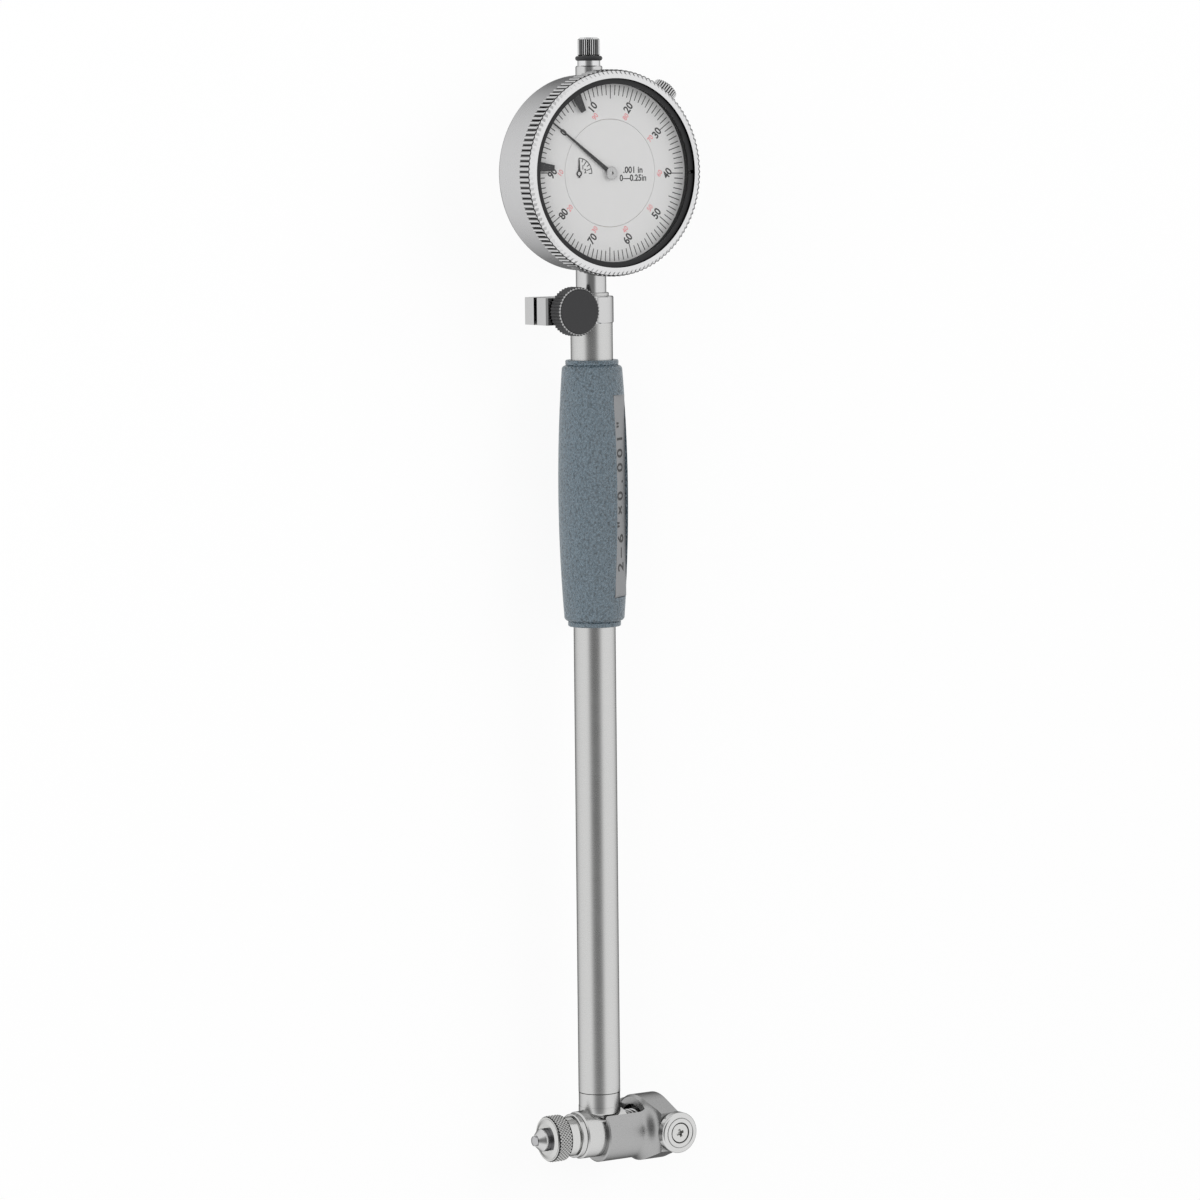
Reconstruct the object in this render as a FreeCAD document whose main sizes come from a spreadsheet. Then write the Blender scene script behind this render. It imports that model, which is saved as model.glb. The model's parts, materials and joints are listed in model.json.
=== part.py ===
import FreeCAD, Part
import math
import os
import Sketcher

# Dial bore gauge, in millimetres.  It lies on its back as it comes to rest on a bench:
#   X  measuring axis, fixed anvil towards -X, centralising bridge and moving contact towards +X
#   Y  handle axis, from the measuring head towards the dial indicator
#   Z  dial normal, up
# The origin is the crossing of the measuring axis and the handle axis.

Vector = FreeCAD.Vector
doc = FreeCAD.newDocument("DialBoreGauge")

# ---------------------------------------------------------------- driving sizes
SIZES = {
    # handle
    "tube_od": 12.0, "boss_top": 11.9, "tube_len": 220.9, "collet_step": 1.0, "collet_lip": 1.0,
    "collet_slot": 1.2, "spigot_len": 12.0,
    "grip_down": 10.4, "grip_len": 75.8, "grip_ring_wall": 1.55, "grip_ring_len": 1.4,
    "grip_end_wall": 2.6, "grip_bulge": 1.35, "grip_shoulder": 1.2,
    "plate_up": 8.4, "plate_len": 57.6, "plate_w": 8.6, "plate_turn": 36.0,
    "plate_wall": 1.65, "plate_thick": 0.5, "plate_gap": 0.1,
    # clamp
    "collar_len": 7.7, "collar_wall": 1.3, "ear_reach": 18.8, "ear_half": 5.95, "ear_gap": 1.7,
    "ear_bevel": 0.5, "knob_x": 11.3, "knob_r": 6.9, "knob_len": 5.2, "knob_stand": 0.55,
    "knob_hub_r": 3.2, "knob_teeth": 44, "stud_r": 1.5,
    # measuring head
    "head_r": 6.8, "head_left": 8.0, "head_right": 6.6, "boss_r": 5.95, "boss_len": 4.9,
    "boss_round": 0.8, "neck_r": 5.0, "nose_r": 4.4, "nose_left_len": 7.0, "nose_right_len": 5.9,
    "contact_nose_r": 3.0, "contact_r": 2.0, "contact_tip": 27.6, "contact_step": 8.0,
    "contact_tail_r": 0.7, "tip_r": 1.45, "tip_len": 1.2, "tip_dome": 0.5, "anvil_out": 4.6,
    "anvil_r": 3.25, "anvil_len": 3.9, "anvil_flange_r": 4.1, "anvil_flange": 1.2, "shank_r": 2.0,
    "shank_len": 5.0,
    "nut_wall": 2.2, "nut_r": 6.7, "nut_bevel": 0.6, "nut_band": 4.6, "nut_neck_r": 5.7, "nut_neck": 2.9,
    "nut_teeth": 40, "nut_face_r": 4.6, "washer_r": 6.35, "washer_len": 1.7,
    "arm": 4.0, "arm_nose": 0.9, "arm_half": 0.6, "crank_thick": 2.4, "crank_hub": 1.5,
    "pin_r": 0.8, "travel": 1.5,
    # centralising bridge
    "bridge_left": 1.9, "bridge_wall": 1.6, "bridge_floor": 6.4, "block_step": 0.6,
    "block_len": 5.9, "block_half": 11.5, "roof_peak": 10.6, "roof_slope": 23.5,
    "roof_round": 12.0, "flare_len": 4.0, "flare_rise": 4.45, "slot_half": 6.2, "slot_end": 4.9,
    "wheel_back": 1.5, "wheel_r": 5.9, "wheel_len": 3.1, "wheel_gap": 0.2, "wheel_round": 0.7,
    "axle_r": 1.8, "screw_head_r": 2.8, "screw_r": 1.3, "stop_x": 4.3, "stop_r": 1.0,
    "bridge_spring_r": 5.2, "bridge_wire": 0.75,
    # indicator case
    "dial_up": 42.4, "case_r": 27.6, "case_wall": 2.2, "case_back": 5.2, "case_front": 7.5,
    "case_round": 1.2, "rim_step": 1.5, "rim_len": 1.7, "cover_edge": 3.5, "cover_thick": 1.2,
    "flange_in": 3.0, "flange_thick": 1.5, "cover_head_r": 1.5, "cover_thread_r": 0.8,
    "ledge_in": 1.3, "ledge_z": 6.1, "stem_r": 4.3, "stem_down": 6.7,
    "bushing_r": 3.8, "bushing_out": 2.5, "bushing_in": 0.7,
    # bezel and dial
    "bezel_wall": 2.9, "bezel_back": 7.7, "bezel_len": 6.1, "bezel_teeth": 120,
    "bezel_depth": 0.4, "bezel_bevel": 0.5, "dial_z": 10.4, "dial_thick": 0.4, "dial_gap": 0.1,
    "dial_split_r": 15.1, "well_lip": 0.75, "shelf_in": 0.85, "crystal_edge": 0.3, "crystal_up": 1.3,
    "crystal_thick": 1.0, "retainer_edge": 0.3, "retainer_wall": 1.5, "retainer_thick": 0.4,
    "retainer_split": 1.0, "hand_up": 0.7, "hand_upper_turn": 28.0, "hand_left_turn": 85.0,
    "pointer_turn": 53.1, "pointer_hub_r": 1.8, "hand_reach": 5.8, "hand_left_reach": 6.1,
    "hand_root": 2.9, "hand_point": 1.6,
    "lock_z": 5.4, "lock_r": 3.75, "lock_len": 3.4, "lock_gap": 0.5, "lock_turn": 46.5,
    "lock_thread_r": 1.2, "lock_boss_r": 2.2, "lock_teeth": 28,
    # spindle and movement
    "spindle_r": 2.0, "spindle_out": 1.5, "point_len": 6.5, "point_r": 1.9,
    "rack_pitch": 0.635, "rack_line": 0.786, "rack_teeth": 14, "rack_pinion": 16,
    "stop_collar_at": 14.0, "stop_collar_r": 2.4, "main_spring_r": 2.22, "main_wire": 0.3,
    "guide_pin_at": 8.0, "guide_pin_r": 0.6,
    "drive_teeth": 40, "centre_teeth": 10, "counter_x": 10.4, "counter_pinion": 20,
    "counter_teeth": 50, "fine_module": 0.211, "arbor_r": 0.5,
    "plate_thin": 0.8, "rear_plate_z": 2.3, "pillar_r": 1.2, "rear_plate_half": 13.0,
    "pointer_short": 1.5, "counter_hand": 4.0,
    "cap_sink": 1.9, "cap_neck": 3.3, "cap_head": 5.2, "cap_r": 3.2, "cap_teeth": 32, "ring_len": 1.4,
    "ring_r": 3.85, "ring_bulge": 0.6, "ring_groove_r": 2.6, "stub_r": 1.2, "stub_len": 6.0,
    "rod_r": 1.5, "rod_bush_down": 26.0, "rod_bush_len": 7.0, "rod_spring_len": 14.5, "rod_collar_r": 3.0,
    # clearances
    "fit": 0.02, "run": 0.05, "seat": 0.03,
}

sheet = doc.addObject("Spreadsheet::Sheet", "Sizes")
for row, (name, number) in enumerate(SIZES.items(), start=1):
    sheet.set("A%d" % row, name)
    sheet.set("B%d" % row, str(number))
    sheet.setAlias("B%d" % row, name)
doc.recompute()


class Dim:
    """A size that knows its number and the spreadsheet formula behind it."""

    def __init__(self, number, formula):
        self.number = float(number)
        self.formula = formula

    def _join(self, other, sign, result, swapped=False):
        text = other.formula if isinstance(other, Dim) else repr(float(other))
        pair = (text, sign, self.formula) if swapped else (self.formula, sign, text)
        return Dim(result, "(%s %s %s)" % pair)

    def __add__(self, other):
        return self._join(other, "+", self.number + float(other))

    def __radd__(self, other):
        return self._join(other, "+", float(other) + self.number, True)

    def __sub__(self, other):
        return self._join(other, "-", self.number - float(other))

    def __rsub__(self, other):
        return self._join(other, "-", float(other) - self.number, True)

    def __mul__(self, other):
        return self._join(other, "*", self.number * float(other))

    def __rmul__(self, other):
        return self._join(other, "*", float(other) * self.number, True)

    def __truediv__(self, other):
        return self._join(other, "/", self.number / float(other))

    def __rtruediv__(self, other):
        return self._join(other, "/", float(other) / self.number, True)

    def __neg__(self):
        return Dim(-self.number, "(0 - %s)" % self.formula)

    def __float__(self):
        return self.number


def root_of(dim):
    """Square root of a size."""
    return Dim(math.sqrt(dim.number), "sqrt(%s)" % dim.formula)


def tangent_of(degrees):
    """Tangent of an angle kept in the sheet as plain degrees."""
    return Dim(math.tan(math.radians(degrees.number)), "tan(%s * 1deg)" % degrees.formula)


class Sizes:
    """The spreadsheet's cells, read as attributes."""

    def __getattr__(self, name):
        return Dim(getattr(sheet, name), "Sizes." + name)


d = Sizes()

# Places and radii that follow from the driving sizes
collar_y = d.boss_top + d.tube_len
collet_r = d.tube_od / 2 - d.collet_step
grip_y = collar_y - d.grip_down - d.grip_len
grip_ring_r = d.tube_od / 2 + d.grip_ring_wall
grip_end_r = d.tube_od / 2 + d.grip_end_wall
grip_mid_r = grip_end_r + d.grip_bulge
plate_y = grip_y + d.plate_up
plate_floor = d.tube_od / 2 + d.plate_wall
collar_r = collet_r + d.collar_wall
boss_foot = d.boss_top - d.boss_len
nose_left = d.head_left + d.nose_left_len
nose_right = d.head_right + d.nose_right_len
nut_front = nose_left + d.anvil_flange + d.nut_wall
anvil_tip = nut_front + d.anvil_out
bridge_bore = d.head_r + d.run
bridge_r = bridge_bore + d.bridge_wall
bridge_floor = d.head_right + d.bridge_floor
block_start = bridge_floor + d.block_step
block_end = block_start + d.block_len
flare_start = block_start - d.flare_len
slot_end = d.head_right + d.slot_end
wheel_x = block_end - d.wheel_back
dial_y = collar_y + d.dial_up
stem_low = collar_y - d.stem_down
spindle_low = stem_low - d.spindle_out
point_low = spindle_low - d.point_len
wall_in = d.case_r - d.case_wall
ledge_r = wall_in - d.ledge_in
rim_r = d.case_r - d.rim_step
rim_front = d.case_front + d.rim_len
cover_r = d.case_r - d.cover_edge
bezel_r = rim_r + d.bezel_wall
bezel_front = d.bezel_back + d.bezel_len
well_r = rim_r - d.well_lip
crystal_low = d.dial_z + d.crystal_up
crystal_r = rim_r - d.crystal_edge
retainer_r = rim_r + d.retainer_edge
hand_z = d.dial_z + d.hand_up
lock_start = bezel_r + d.lock_gap
bushing_top = dial_y + d.case_r + d.bushing_out
cap_low = bushing_top - d.cap_sink
ring_y = cap_low + d.cap_neck
cap_top = ring_y + d.ring_len + d.cap_head
stub_top = cap_low + d.stub_len
rod_bush_y = stem_low - d.rod_bush_down
rod_collar_y = rod_bush_y - d.rod_spring_len - 1.5
PARTS = []


def bind(thing, path, value):
    """Tie a property to its formula, or set a plain number."""
    if isinstance(value, Dim):
        thing.setExpression(path, value.formula)
    else:
        thing.setExpression(path, repr(float(value)))


def place(thing, x=0.0, y=0.0, z=0.0):
    """Tie an object's position to sizes."""
    for path, value in (("x", x), ("y", y), ("z", z)):
        if isinstance(value, Dim) or value:
            bind(thing, "Placement.Base." + path, value)
    return thing


def turn(thing, axis, degrees):
    """Give an object its rotation, tied to the sheet when the angle is a size."""
    position = thing.Placement.Base
    thing.Placement = FreeCAD.Placement(position, FreeCAD.Rotation(axis, float(degrees)))
    if isinstance(degrees, Dim):
        bind(thing, "Placement.Rotation.Angle", degrees)
    return thing


def keep(thing, label):
    """Name a finished piece and list it for export."""
    thing.Label = label
    PARTS.append(thing)
    return thing


# ---------------------------------------------------------------- sketches and bodies
def plane_of(body, role):
    return [item for item in body.Origin.OriginFeatures if item.Role == role][0]


def new_sketch(body, role, name):
    sketch = body.newObject("Sketcher::SketchObject", name)
    sketch.AttachmentSupport = [(plane_of(body, role), "")]
    sketch.MapMode = "FlatFace"
    return sketch


def fix(sketch, kind, edge, end, value):
    """Dimension one coordinate or radius of a sketch edge."""
    if kind == "Radius":
        index = sketch.addConstraint(Sketcher.Constraint(kind, edge, float(value)))
    else:
        index = sketch.addConstraint(Sketcher.Constraint(kind, edge, end, float(value)))
    if isinstance(value, Dim):
        sketch.setExpression("Constraints[%d]" % index, value.formula)


def arc_between(start, end, radius):
    """Circular arc from start to end.  A positive radius runs anticlockwise."""
    chord = end - start
    half = chord.Length / 2
    height = math.sqrt(max(radius * radius - half * half, 0.0))
    side = Vector(-chord.y, chord.x, 0).normalize() * math.copysign(height, radius)
    centre = (start + end) / 2 + side
    first, last = (start, end) if radius > 0 else (end, start)
    angle = [math.atan2(p.y - centre.y, p.x - centre.x) for p in (first, last)]
    circle = Part.Circle(centre, Vector(0, 0, 1), abs(radius))
    return Part.ArcOfCircle(circle, angle[0], angle[1])


def outline(sketch, points):
    """Close an outline of dimensioned corners.

    A corner is (across, up), or (across, up, radius) when the edge that leaves it is an arc."""
    count = len(points)
    first_edge = sketch.GeometryCount
    ends = []
    for index, point in enumerate(points):
        after = points[(index + 1) % count]
        start = Vector(float(point[0]), float(point[1]), 0)
        end = Vector(float(after[0]), float(after[1]), 0)
        if len(point) == 3:
            sketch.addGeometry(arc_between(start, end, float(point[2])), False)
            ends.append((1, 2) if float(point[2]) > 0 else (2, 1))
        else:
            sketch.addGeometry(Part.LineSegment(start, end), False)
            ends.append((1, 2))
    for index, point in enumerate(points):
        edge = first_edge + index
        following = (index + 1) % count
        sketch.addConstraint(Sketcher.Constraint(
            "Coincident", edge, ends[index][1], first_edge + following, ends[following][0]))
        fix(sketch, "DistanceX", edge, ends[index][0], point[0])
        fix(sketch, "DistanceY", edge, ends[index][0], point[1])
        if len(point) == 3:
            size = point[2] if float(point[2]) > 0 else -point[2]
            fix(sketch, "Radius", edge, 0, size)


def ring_mark(sketch, across, up, radius):
    """One dimensioned circle in a sketch."""
    edge = sketch.addGeometry(
        Part.Circle(Vector(float(across), float(up), 0), Vector(0, 0, 1), float(radius)), False)
    fix(sketch, "DistanceX", edge, 3, across)
    fix(sketch, "DistanceY", edge, 3, up)
    fix(sketch, "Radius", edge, 0, radius)


TURNING = {"X": ("XY_Plane", "H_Axis"), "Y": ("XY_Plane", "V_Axis"), "Z": ("XZ_Plane", "V_Axis")}


def turned_feature(body, axis, stations, kind="Revolution", name="turning"):
    """Turn a half profile, given as (radius, station) corners, about an axis of the body."""
    role, reference = TURNING[axis]
    sketch = new_sketch(body, role, body.Name + "_" + name + "_profile")
    if axis == "X":
        stations = [(p[1], p[0]) + ((-p[2],) if len(p) == 3 else ()) for p in stations]
    outline(sketch, stations)
    feature = body.newObject("PartDesign::" + kind, body.Name + "_" + name)
    feature.Profile = sketch
    feature.ReferenceAxis = (sketch, [reference])
    feature.Angle = 360
    return feature


def turned(label, axis, stations, listed=True):
    """A turned piece as a body of its own."""
    body = doc.addObject("PartDesign::Body", "Body")
    turned_feature(body, axis, stations)
    body.Label = label
    if listed:
        PARTS.append(body)
    return body


def drum(low, high, radius, bore=0.0, bevel_low=0.0, bevel_high=0.0):
    """Corners of a plain turned ring or disc, bevelled at its outer edges on request."""
    corners = [(bore, low)]
    if float(bevel_low):
        corners.append((radius - bevel_low, low))
    corners.append((radius, low + bevel_low))
    corners.append((radius, high - bevel_high))
    if float(bevel_high):
        corners.append((radius - bevel_high, high))
    return corners + [(bore, high)]


def cut_through(body, role, marks, name, depth=None, reverse=False):
    """Pocket through the body from an origin plane, both ways, or one way to a depth."""
    sketch = new_sketch(body, role, body.Name + "_" + name + "_marks")
    for mark in marks:
        mark(sketch)
    pocket = body.newObject("PartDesign::Pocket", body.Name + "_" + name)
    pocket.Profile = sketch
    if depth is None:
        pocket.Type = "ThroughAll"
        pocket.SideType = "Symmetric"
    else:
        pocket.Type = "Length"
        pocket.SideType = "Symmetric" if reverse is None else "One side"
        bind(pocket, "Length", depth)
        pocket.Reversed = bool(reverse)
    return pocket


def cylinder(radius, length, x=0.0, y=0.0, z=0.0, axis=None, degrees=0.0):
    """A Part cylinder; its own axis is Z unless turned about the given axis."""
    item = doc.addObject("Part::Cylinder", "Cylinder")
    bind(item, "Radius", radius)
    bind(item, "Height", length)
    if axis is not None:
        turn(item, axis, degrees)
    return place(item, x, y, z)


def block(length, width, height, x=0.0, y=0.0, z=0.0):
    item = doc.addObject("Part::Box", "Box")
    bind(item, "Length", length)
    bind(item, "Width", width)
    bind(item, "Height", height)
    return place(item, x, y, z)


def cut(base, tool):
    item = doc.addObject("Part::Cut", "Cut")
    item.Base = base
    item.Tool = tool
    return item


def joined(pieces):
    item = doc.addObject("Part::MultiFuse", "Fuse")
    item.Shapes = pieces
    return item


def group(pieces):
    item = doc.addObject("Part::Compound", "Group")
    item.Links = pieces
    return item


def coded(shape):
    """A shape worked out in code from the sheet's numbers."""
    item = doc.addObject("Part::Feature", "Shape")
    item.Shape = shape
    return item


# ---------------------------------------------------------------- flutes, teeth and coils
def star_wire(count, outer, inner, station):
    """Closed zigzag of ridges and valleys, as a straight knurl is cut."""
    points = []
    for index in range(2 * count):
        radius = outer if index % 2 == 0 else inner
        angle = math.pi * index / count
        points.append(Vector(radius * math.cos(angle), radius * math.sin(angle), station))
    return Part.makePolygon(points + [points[0]])


def fluted(count, depth, stations):
    """Knurled solid along Z, through (radius, station) rings."""
    wires = [star_wire(int(float(count)), float(r), float(r) - float(depth), float(z)) for r, z in stations]
    return coded(Part.makeLoft(wires, True, True))


def knurled(count, depth, radius, low, high, rows):
    """Diamond knurl along Z: rings of ridges and valleys that change places from row to row."""
    wires = [star_wire(count, radius - depth, radius - depth - 0.05, low)]
    step = (high - low) / (rows + 1)
    for row in range(1, rows + 1):
        odd = row % 2
        wires.append(star_wire(count, radius - depth * odd, radius - depth * (1 - odd), low + step * row))
    wires.append(star_wire(count, radius - depth, radius - depth - 0.05, high))
    return coded(Part.makeLoft(wires, True, True))


def polar(radius, angle, station=0.0):
    return Vector(radius * math.cos(angle), radius * math.sin(angle), station)


def gear_shape(teeth, module, low, high, phase=0.0, bore=0.0):
    """Spur gear with straight flanks.  phase is the angle of one tooth's middle."""
    pitch_r = module * teeth / 2
    top_r = pitch_r + 0.75 * module
    floor_r = pitch_r - 1.05 * module
    top_half = 0.38 * module / top_r
    floor_half = 1.0 * module / floor_r
    points = []
    for index in range(teeth):
        middle = phase + 2 * math.pi * index / teeth
        points += [polar(floor_r, middle - floor_half, low), polar(top_r, middle - top_half, low),
                   polar(top_r, middle + top_half, low), polar(floor_r, middle + floor_half, low)]
    face = Part.Face(Part.makePolygon(points + [points[0]]))
    solid = face.extrude(Vector(0, 0, high - low))
    if bore:
        solid = solid.cut(Part.makeCylinder(bore, high - low, Vector(0, 0, low)))
    return solid


def meshed_phase(driver_teeth, driver_phase, follower_teeth, direction):
    """Phase that puts a follower's gap on the driver's tooth, along the line of centres."""
    driver_pitch = 2 * math.pi / driver_teeth
    follower_pitch = 2 * math.pi / follower_teeth
    share = (direction - driver_phase) / driver_pitch
    return direction + math.pi - (0.5 - share) * follower_pitch


def coil_shape(mean_r, wire, low, high, turns, sides=6):
    """Helical spring along Z from one wire section swept along its helix."""
    pitch = (high - low - wire) / turns
    helix = Part.makeHelix(pitch, pitch * turns, mean_r)
    helix.translate(Vector(0, 0, low + wire / 2))
    corners = []
    for index in range(sides):
        angle = 2 * math.pi * (index + 0.5) / sides
        corners.append(Vector(mean_r + wire / 2 * math.cos(angle), 0,
                              low + wire / 2 + wire / 2 * math.sin(angle)))
    section = Part.makePolygon(corners + [corners[0]])
    return Part.Wire(helix.Edges).makePipeShell([section], True, True)


X_AXIS = Vector(1, 0, 0)
Y_AXIS = Vector(0, 1, 0)
Z_AXIS = Vector(0, 0, 1)


def sine_of(degrees):
    """Sine of an angle kept in the sheet as plain degrees."""
    return Dim(math.sin(math.radians(degrees.number)), "sin(%s * 1deg)" % degrees.formula)


def arc_radius(chord, rise):
    """Radius of the arc that rises by rise over chord."""
    return (chord * chord / 4 + rise * rise) / (2 * rise)


def padded(label, corners, low, high, listed=True, holes=()):
    """Flat piece cut from sheet: an outline in XY, from one height to another."""
    body = doc.addObject("PartDesign::Body", "Body")
    sketch = new_sketch(body, "XY_Plane", body.Name + "_outline")
    outline(sketch, corners)
    for hole in holes:
        ring_mark(sketch, *hole)
    pad = body.newObject("PartDesign::Pad", body.Name + "_pad")
    pad.Profile = sketch
    bind(pad, "Length", high - low)
    place(body, 0.0, 0.0, low)
    body.Label = label
    if listed:
        PARTS.append(body)
    return body


# ================================================================ measuring head
# Head body: a turned T-piece.  The barrel lies along X, with a threaded nose for the lock nut on
# one side and the contact's guide nose on the other; the boss and spigot carry the handle tube.
tube_bore = d.stem_r + d.fit
slot_far = d.arm + d.crank_hub + 0.15
slot_near = d.arm_nose + 0.3
rod_hole = d.rod_r + d.run
bore_start = d.contact_step - d.travel - 0.2

head = doc.addObject("PartDesign::Body", "Body")
turned_feature(head, "X", [
    (0, -nose_left), (d.nose_r - 0.4, -nose_left), (d.nose_r, 0.4 - nose_left),
    (d.nose_r, -d.head_left), (d.head_r - 0.4, -d.head_left), (d.head_r, 0.4 - d.head_left),
    (d.head_r, d.head_right), (d.contact_nose_r, d.head_right), (d.contact_nose_r, nose_right - 0.3),
    (d.contact_nose_r - 0.3, nose_right), (0, nose_right)], name="barrel")
turned_feature(head, "Y", [
    (0, 1.0), (d.neck_r, 1.0), (d.neck_r, boss_foot), (d.boss_r - d.boss_round, boss_foot, d.boss_round),
    (d.boss_r, boss_foot + d.boss_round), (d.boss_r, d.boss_top), (d.stem_r, d.boss_top),
    (d.stem_r, d.boss_top + d.spigot_len), (0, d.boss_top + d.spigot_len)], name="boss")
turned_feature(head, "Y", [
    (0, d.arm), (rod_hole, d.arm), (rod_hole, d.boss_top + d.spigot_len + 1),
    (0, d.boss_top + d.spigot_len + 1)], kind="Groove", name="rod_bore")
turned_feature(head, "X", [
    (0, d.arm), (d.contact_tail_r + d.run, d.arm), (d.contact_tail_r + d.run, bore_start),
    (d.contact_r + d.run, bore_start), (d.contact_r + d.run, nose_right + 1),
    (0, nose_right + 1)], kind="Groove", name="contact_bore")
turned_feature(head, "X", [
    (0, -nose_left - 1), (d.shank_r + d.fit, -nose_left - 1),
    (d.shank_r + d.fit, d.shank_len + 0.3 - nose_left),
    (0, d.shank_len + 0.3 - nose_left)], kind="Groove", name="anvil_bore")
cut_through(head, "XY_Plane", [lambda s: outline(s, [
    (-slot_near, -d.head_r - 1), (slot_far, -d.head_r - 1), (slot_far, slot_far),
    (d.arm_nose + 1.2, slot_far), (d.arm_nose + 1.2, d.arm + d.travel + d.arm_nose + 0.2),
    (-slot_near, d.arm + d.travel + d.arm_nose + 0.2)])], "slot", d.crank_thick + 0.3, None)
cut_through(head, "XY_Plane", [lambda s: ring_mark(s, d.arm, d.arm, d.pin_r + d.fit)], "pin_hole")
keep(head, "head_body")

# Bell crank: two equal arms round the crank pin turn the contact's push into the rod's lift.
hub = cylinder(d.crank_hub, d.crank_thick, d.arm, d.arm, -d.crank_thick / 2)
arm_down = block(2 * d.arm_half, d.arm, d.crank_thick, d.arm - d.arm_half, 0.0, -d.crank_thick / 2)
arm_left = block(d.arm, 2 * d.arm_half, d.crank_thick, 0.0, d.arm - d.arm_half, -d.crank_thick / 2)
end_down = cylinder(d.arm_nose, d.crank_thick, d.arm, 0.0, -d.crank_thick / 2)
end_left = cylinder(d.arm_nose, d.crank_thick, 0.0, d.arm, -d.crank_thick / 2)
crank_bore = cylinder(d.pin_r + d.run, d.crank_thick + 2, d.arm, d.arm, -d.crank_thick / 2 - 1)
keep(cut(joined([hub, arm_down, arm_left, end_down, end_left]), crank_bore), "bell_crank")
keep(cylinder(d.pin_r, 10.0, d.arm, d.arm, -5.0), "crank_pin")

# Moving contact: a ground plunger with a thin tail that meets the crank, and a hard domed tip.
dome_r = (d.tip_r * d.tip_r + d.tip_dome * d.tip_dome) / (2 * d.tip_dome)
contact_end = d.contact_tip - d.tip_len
turned("measuring_contact", "X", [
    (0, d.arm + d.arm_nose + d.run), (d.contact_tail_r, d.arm + d.arm_nose + d.run),
    (d.contact_tail_r, d.contact_step), (d.contact_r, d.contact_step), (d.contact_r, contact_end - 0.6),
    (d.contact_r - 0.4, contact_end), (0, contact_end)])
turned("contact_tip", "X", [
    (0, contact_end), (d.tip_r, contact_end), (d.tip_r, d.contact_tip - d.tip_dome, dome_r),
    (0, d.contact_tip)])

# Fixed anvil: a rod with a flange that the lock nut holds against the nose, and a hard domed tip.
flange_face = nose_left + d.anvil_flange
anvil_cone = flange_face + d.anvil_len
turned("anvil_rod", "X", [
    (0, d.tip_len - anvil_tip), (d.tip_r + 0.3, d.tip_len - anvil_tip), (d.anvil_r - 0.25, -anvil_cone - 0.3),
    (d.anvil_r, -anvil_cone), (d.anvil_r, -flange_face), (d.anvil_flange_r, -flange_face),
    (d.anvil_flange_r, -nose_left), (d.shank_r, -nose_left), (d.shank_r, d.shank_len - nose_left),
    (0, d.shank_len - nose_left)])
turned("anvil_tip", "X", [
    (0, -anvil_tip, dome_r), (d.tip_r, d.tip_dome - anvil_tip), (d.tip_r, d.tip_len - anvil_tip),
    (0, d.tip_len - anvil_tip)])

# Lock nut: knurled band with a bevelled face, and a plain neck that seats on the spacing washer.
band_end = nut_front - d.nut_bevel - d.nut_band
washer_face = d.head_left + d.washer_len
nut_rear = band_end - d.nut_neck
nut_band = knurled(int(float(d.nut_teeth)), 0.35, float(d.nut_r), float(d.nut_bevel - nut_front),
                   -float(band_end), 8)
turn(nut_band, Y_AXIS, 90)
nut_core = turned("nut_core", "X", [
    (0, -nut_front), (d.nut_face_r, -nut_front), (d.nut_r - 0.9, 0.5 - nut_front),
    (d.nut_r - 0.9, 1.0 - band_end), (d.nut_neck_r, 1.0 - band_end), (d.nut_neck_r, -nut_rear),
    (d.nut_neck_r - 0.5, -nut_rear), (d.nut_neck_r - 0.5, -washer_face), (0, -washer_face)], False)
nut_hollow = turned("nut_hollow", "X", [
    (0, -nut_front - 1), (d.anvil_r + d.run, -nut_front - 1), (d.anvil_r + d.run, -flange_face),
    (d.nose_r + d.run, -flange_face), (d.nose_r + d.run, 1 - washer_face), (0, 1 - washer_face)], False)
keep(cut(joined([nut_band, nut_core]), nut_hollow), "lock_nut")
turned("spacing_washer", "X", drum(-washer_face, -d.head_left, d.washer_r, d.nose_r + d.seat, 0.25, 0.25))

# ================================================================ centralising bridge
# One machined piece: a sleeve that slides on the head barrel, flared into a roof-shaped block that
# carries two guide wheels.  It is turned first; the roof faces, slot and holes are milled.
flare_r = bridge_r + d.flare_rise
flare_arc = (d.flare_rise * d.flare_rise + d.flare_len * d.flare_len) / (2 * d.flare_rise)
roof_side = d.roof_peak - tangent_of(d.roof_slope) * d.block_half
round_z = d.roof_round * sine_of(d.roof_slope)
round_y = d.roof_peak - tangent_of(d.roof_slope) * round_z

bridge = doc.addObject("PartDesign::Body", "Body")
turned_feature(bridge, "X", [
    (0, -d.bridge_left), (bridge_r - 0.4, -d.bridge_left), (bridge_r, 0.4 - d.bridge_left),
    (bridge_r, flare_start, -flare_arc), (flare_r, block_start), (flare_r, block_end),
    (0, block_end)], name="blank")
cut_through(bridge, "YZ_Plane", [
    lambda s: ring_mark(s, 0.0, 0.0, flare_r + 5),
    lambda s: outline(s, [
        (round_y, -round_z, d.roof_round), (round_y, round_z), (roof_side, d.block_half),
        (-roof_side, d.block_half), (-round_y, round_z, d.roof_round), (-round_y, -round_z),
        (-roof_side, -d.block_half), (roof_side, -d.block_half)])], "roof")
turned_feature(bridge, "X", [
    (0, -d.bridge_left - 1), (bridge_bore, -d.bridge_left - 1), (bridge_bore, bridge_floor),
    (d.contact_nose_r + 0.1, bridge_floor), (d.contact_nose_r + 0.1, block_end + 1),
    (0, block_end + 1)], kind="Groove", name="bore")
cut_through(bridge, "XY_Plane", [lambda s: ring_mark(s, wheel_x, 0.0, d.screw_r + d.fit)], "screw_holes")
doc.recompute()
bridge_slot = block(
    slot_end + d.bridge_left + 1, bridge_r + 3, 2 * d.slot_half, -d.bridge_left - 1, 0.0, -d.slot_half)
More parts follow.
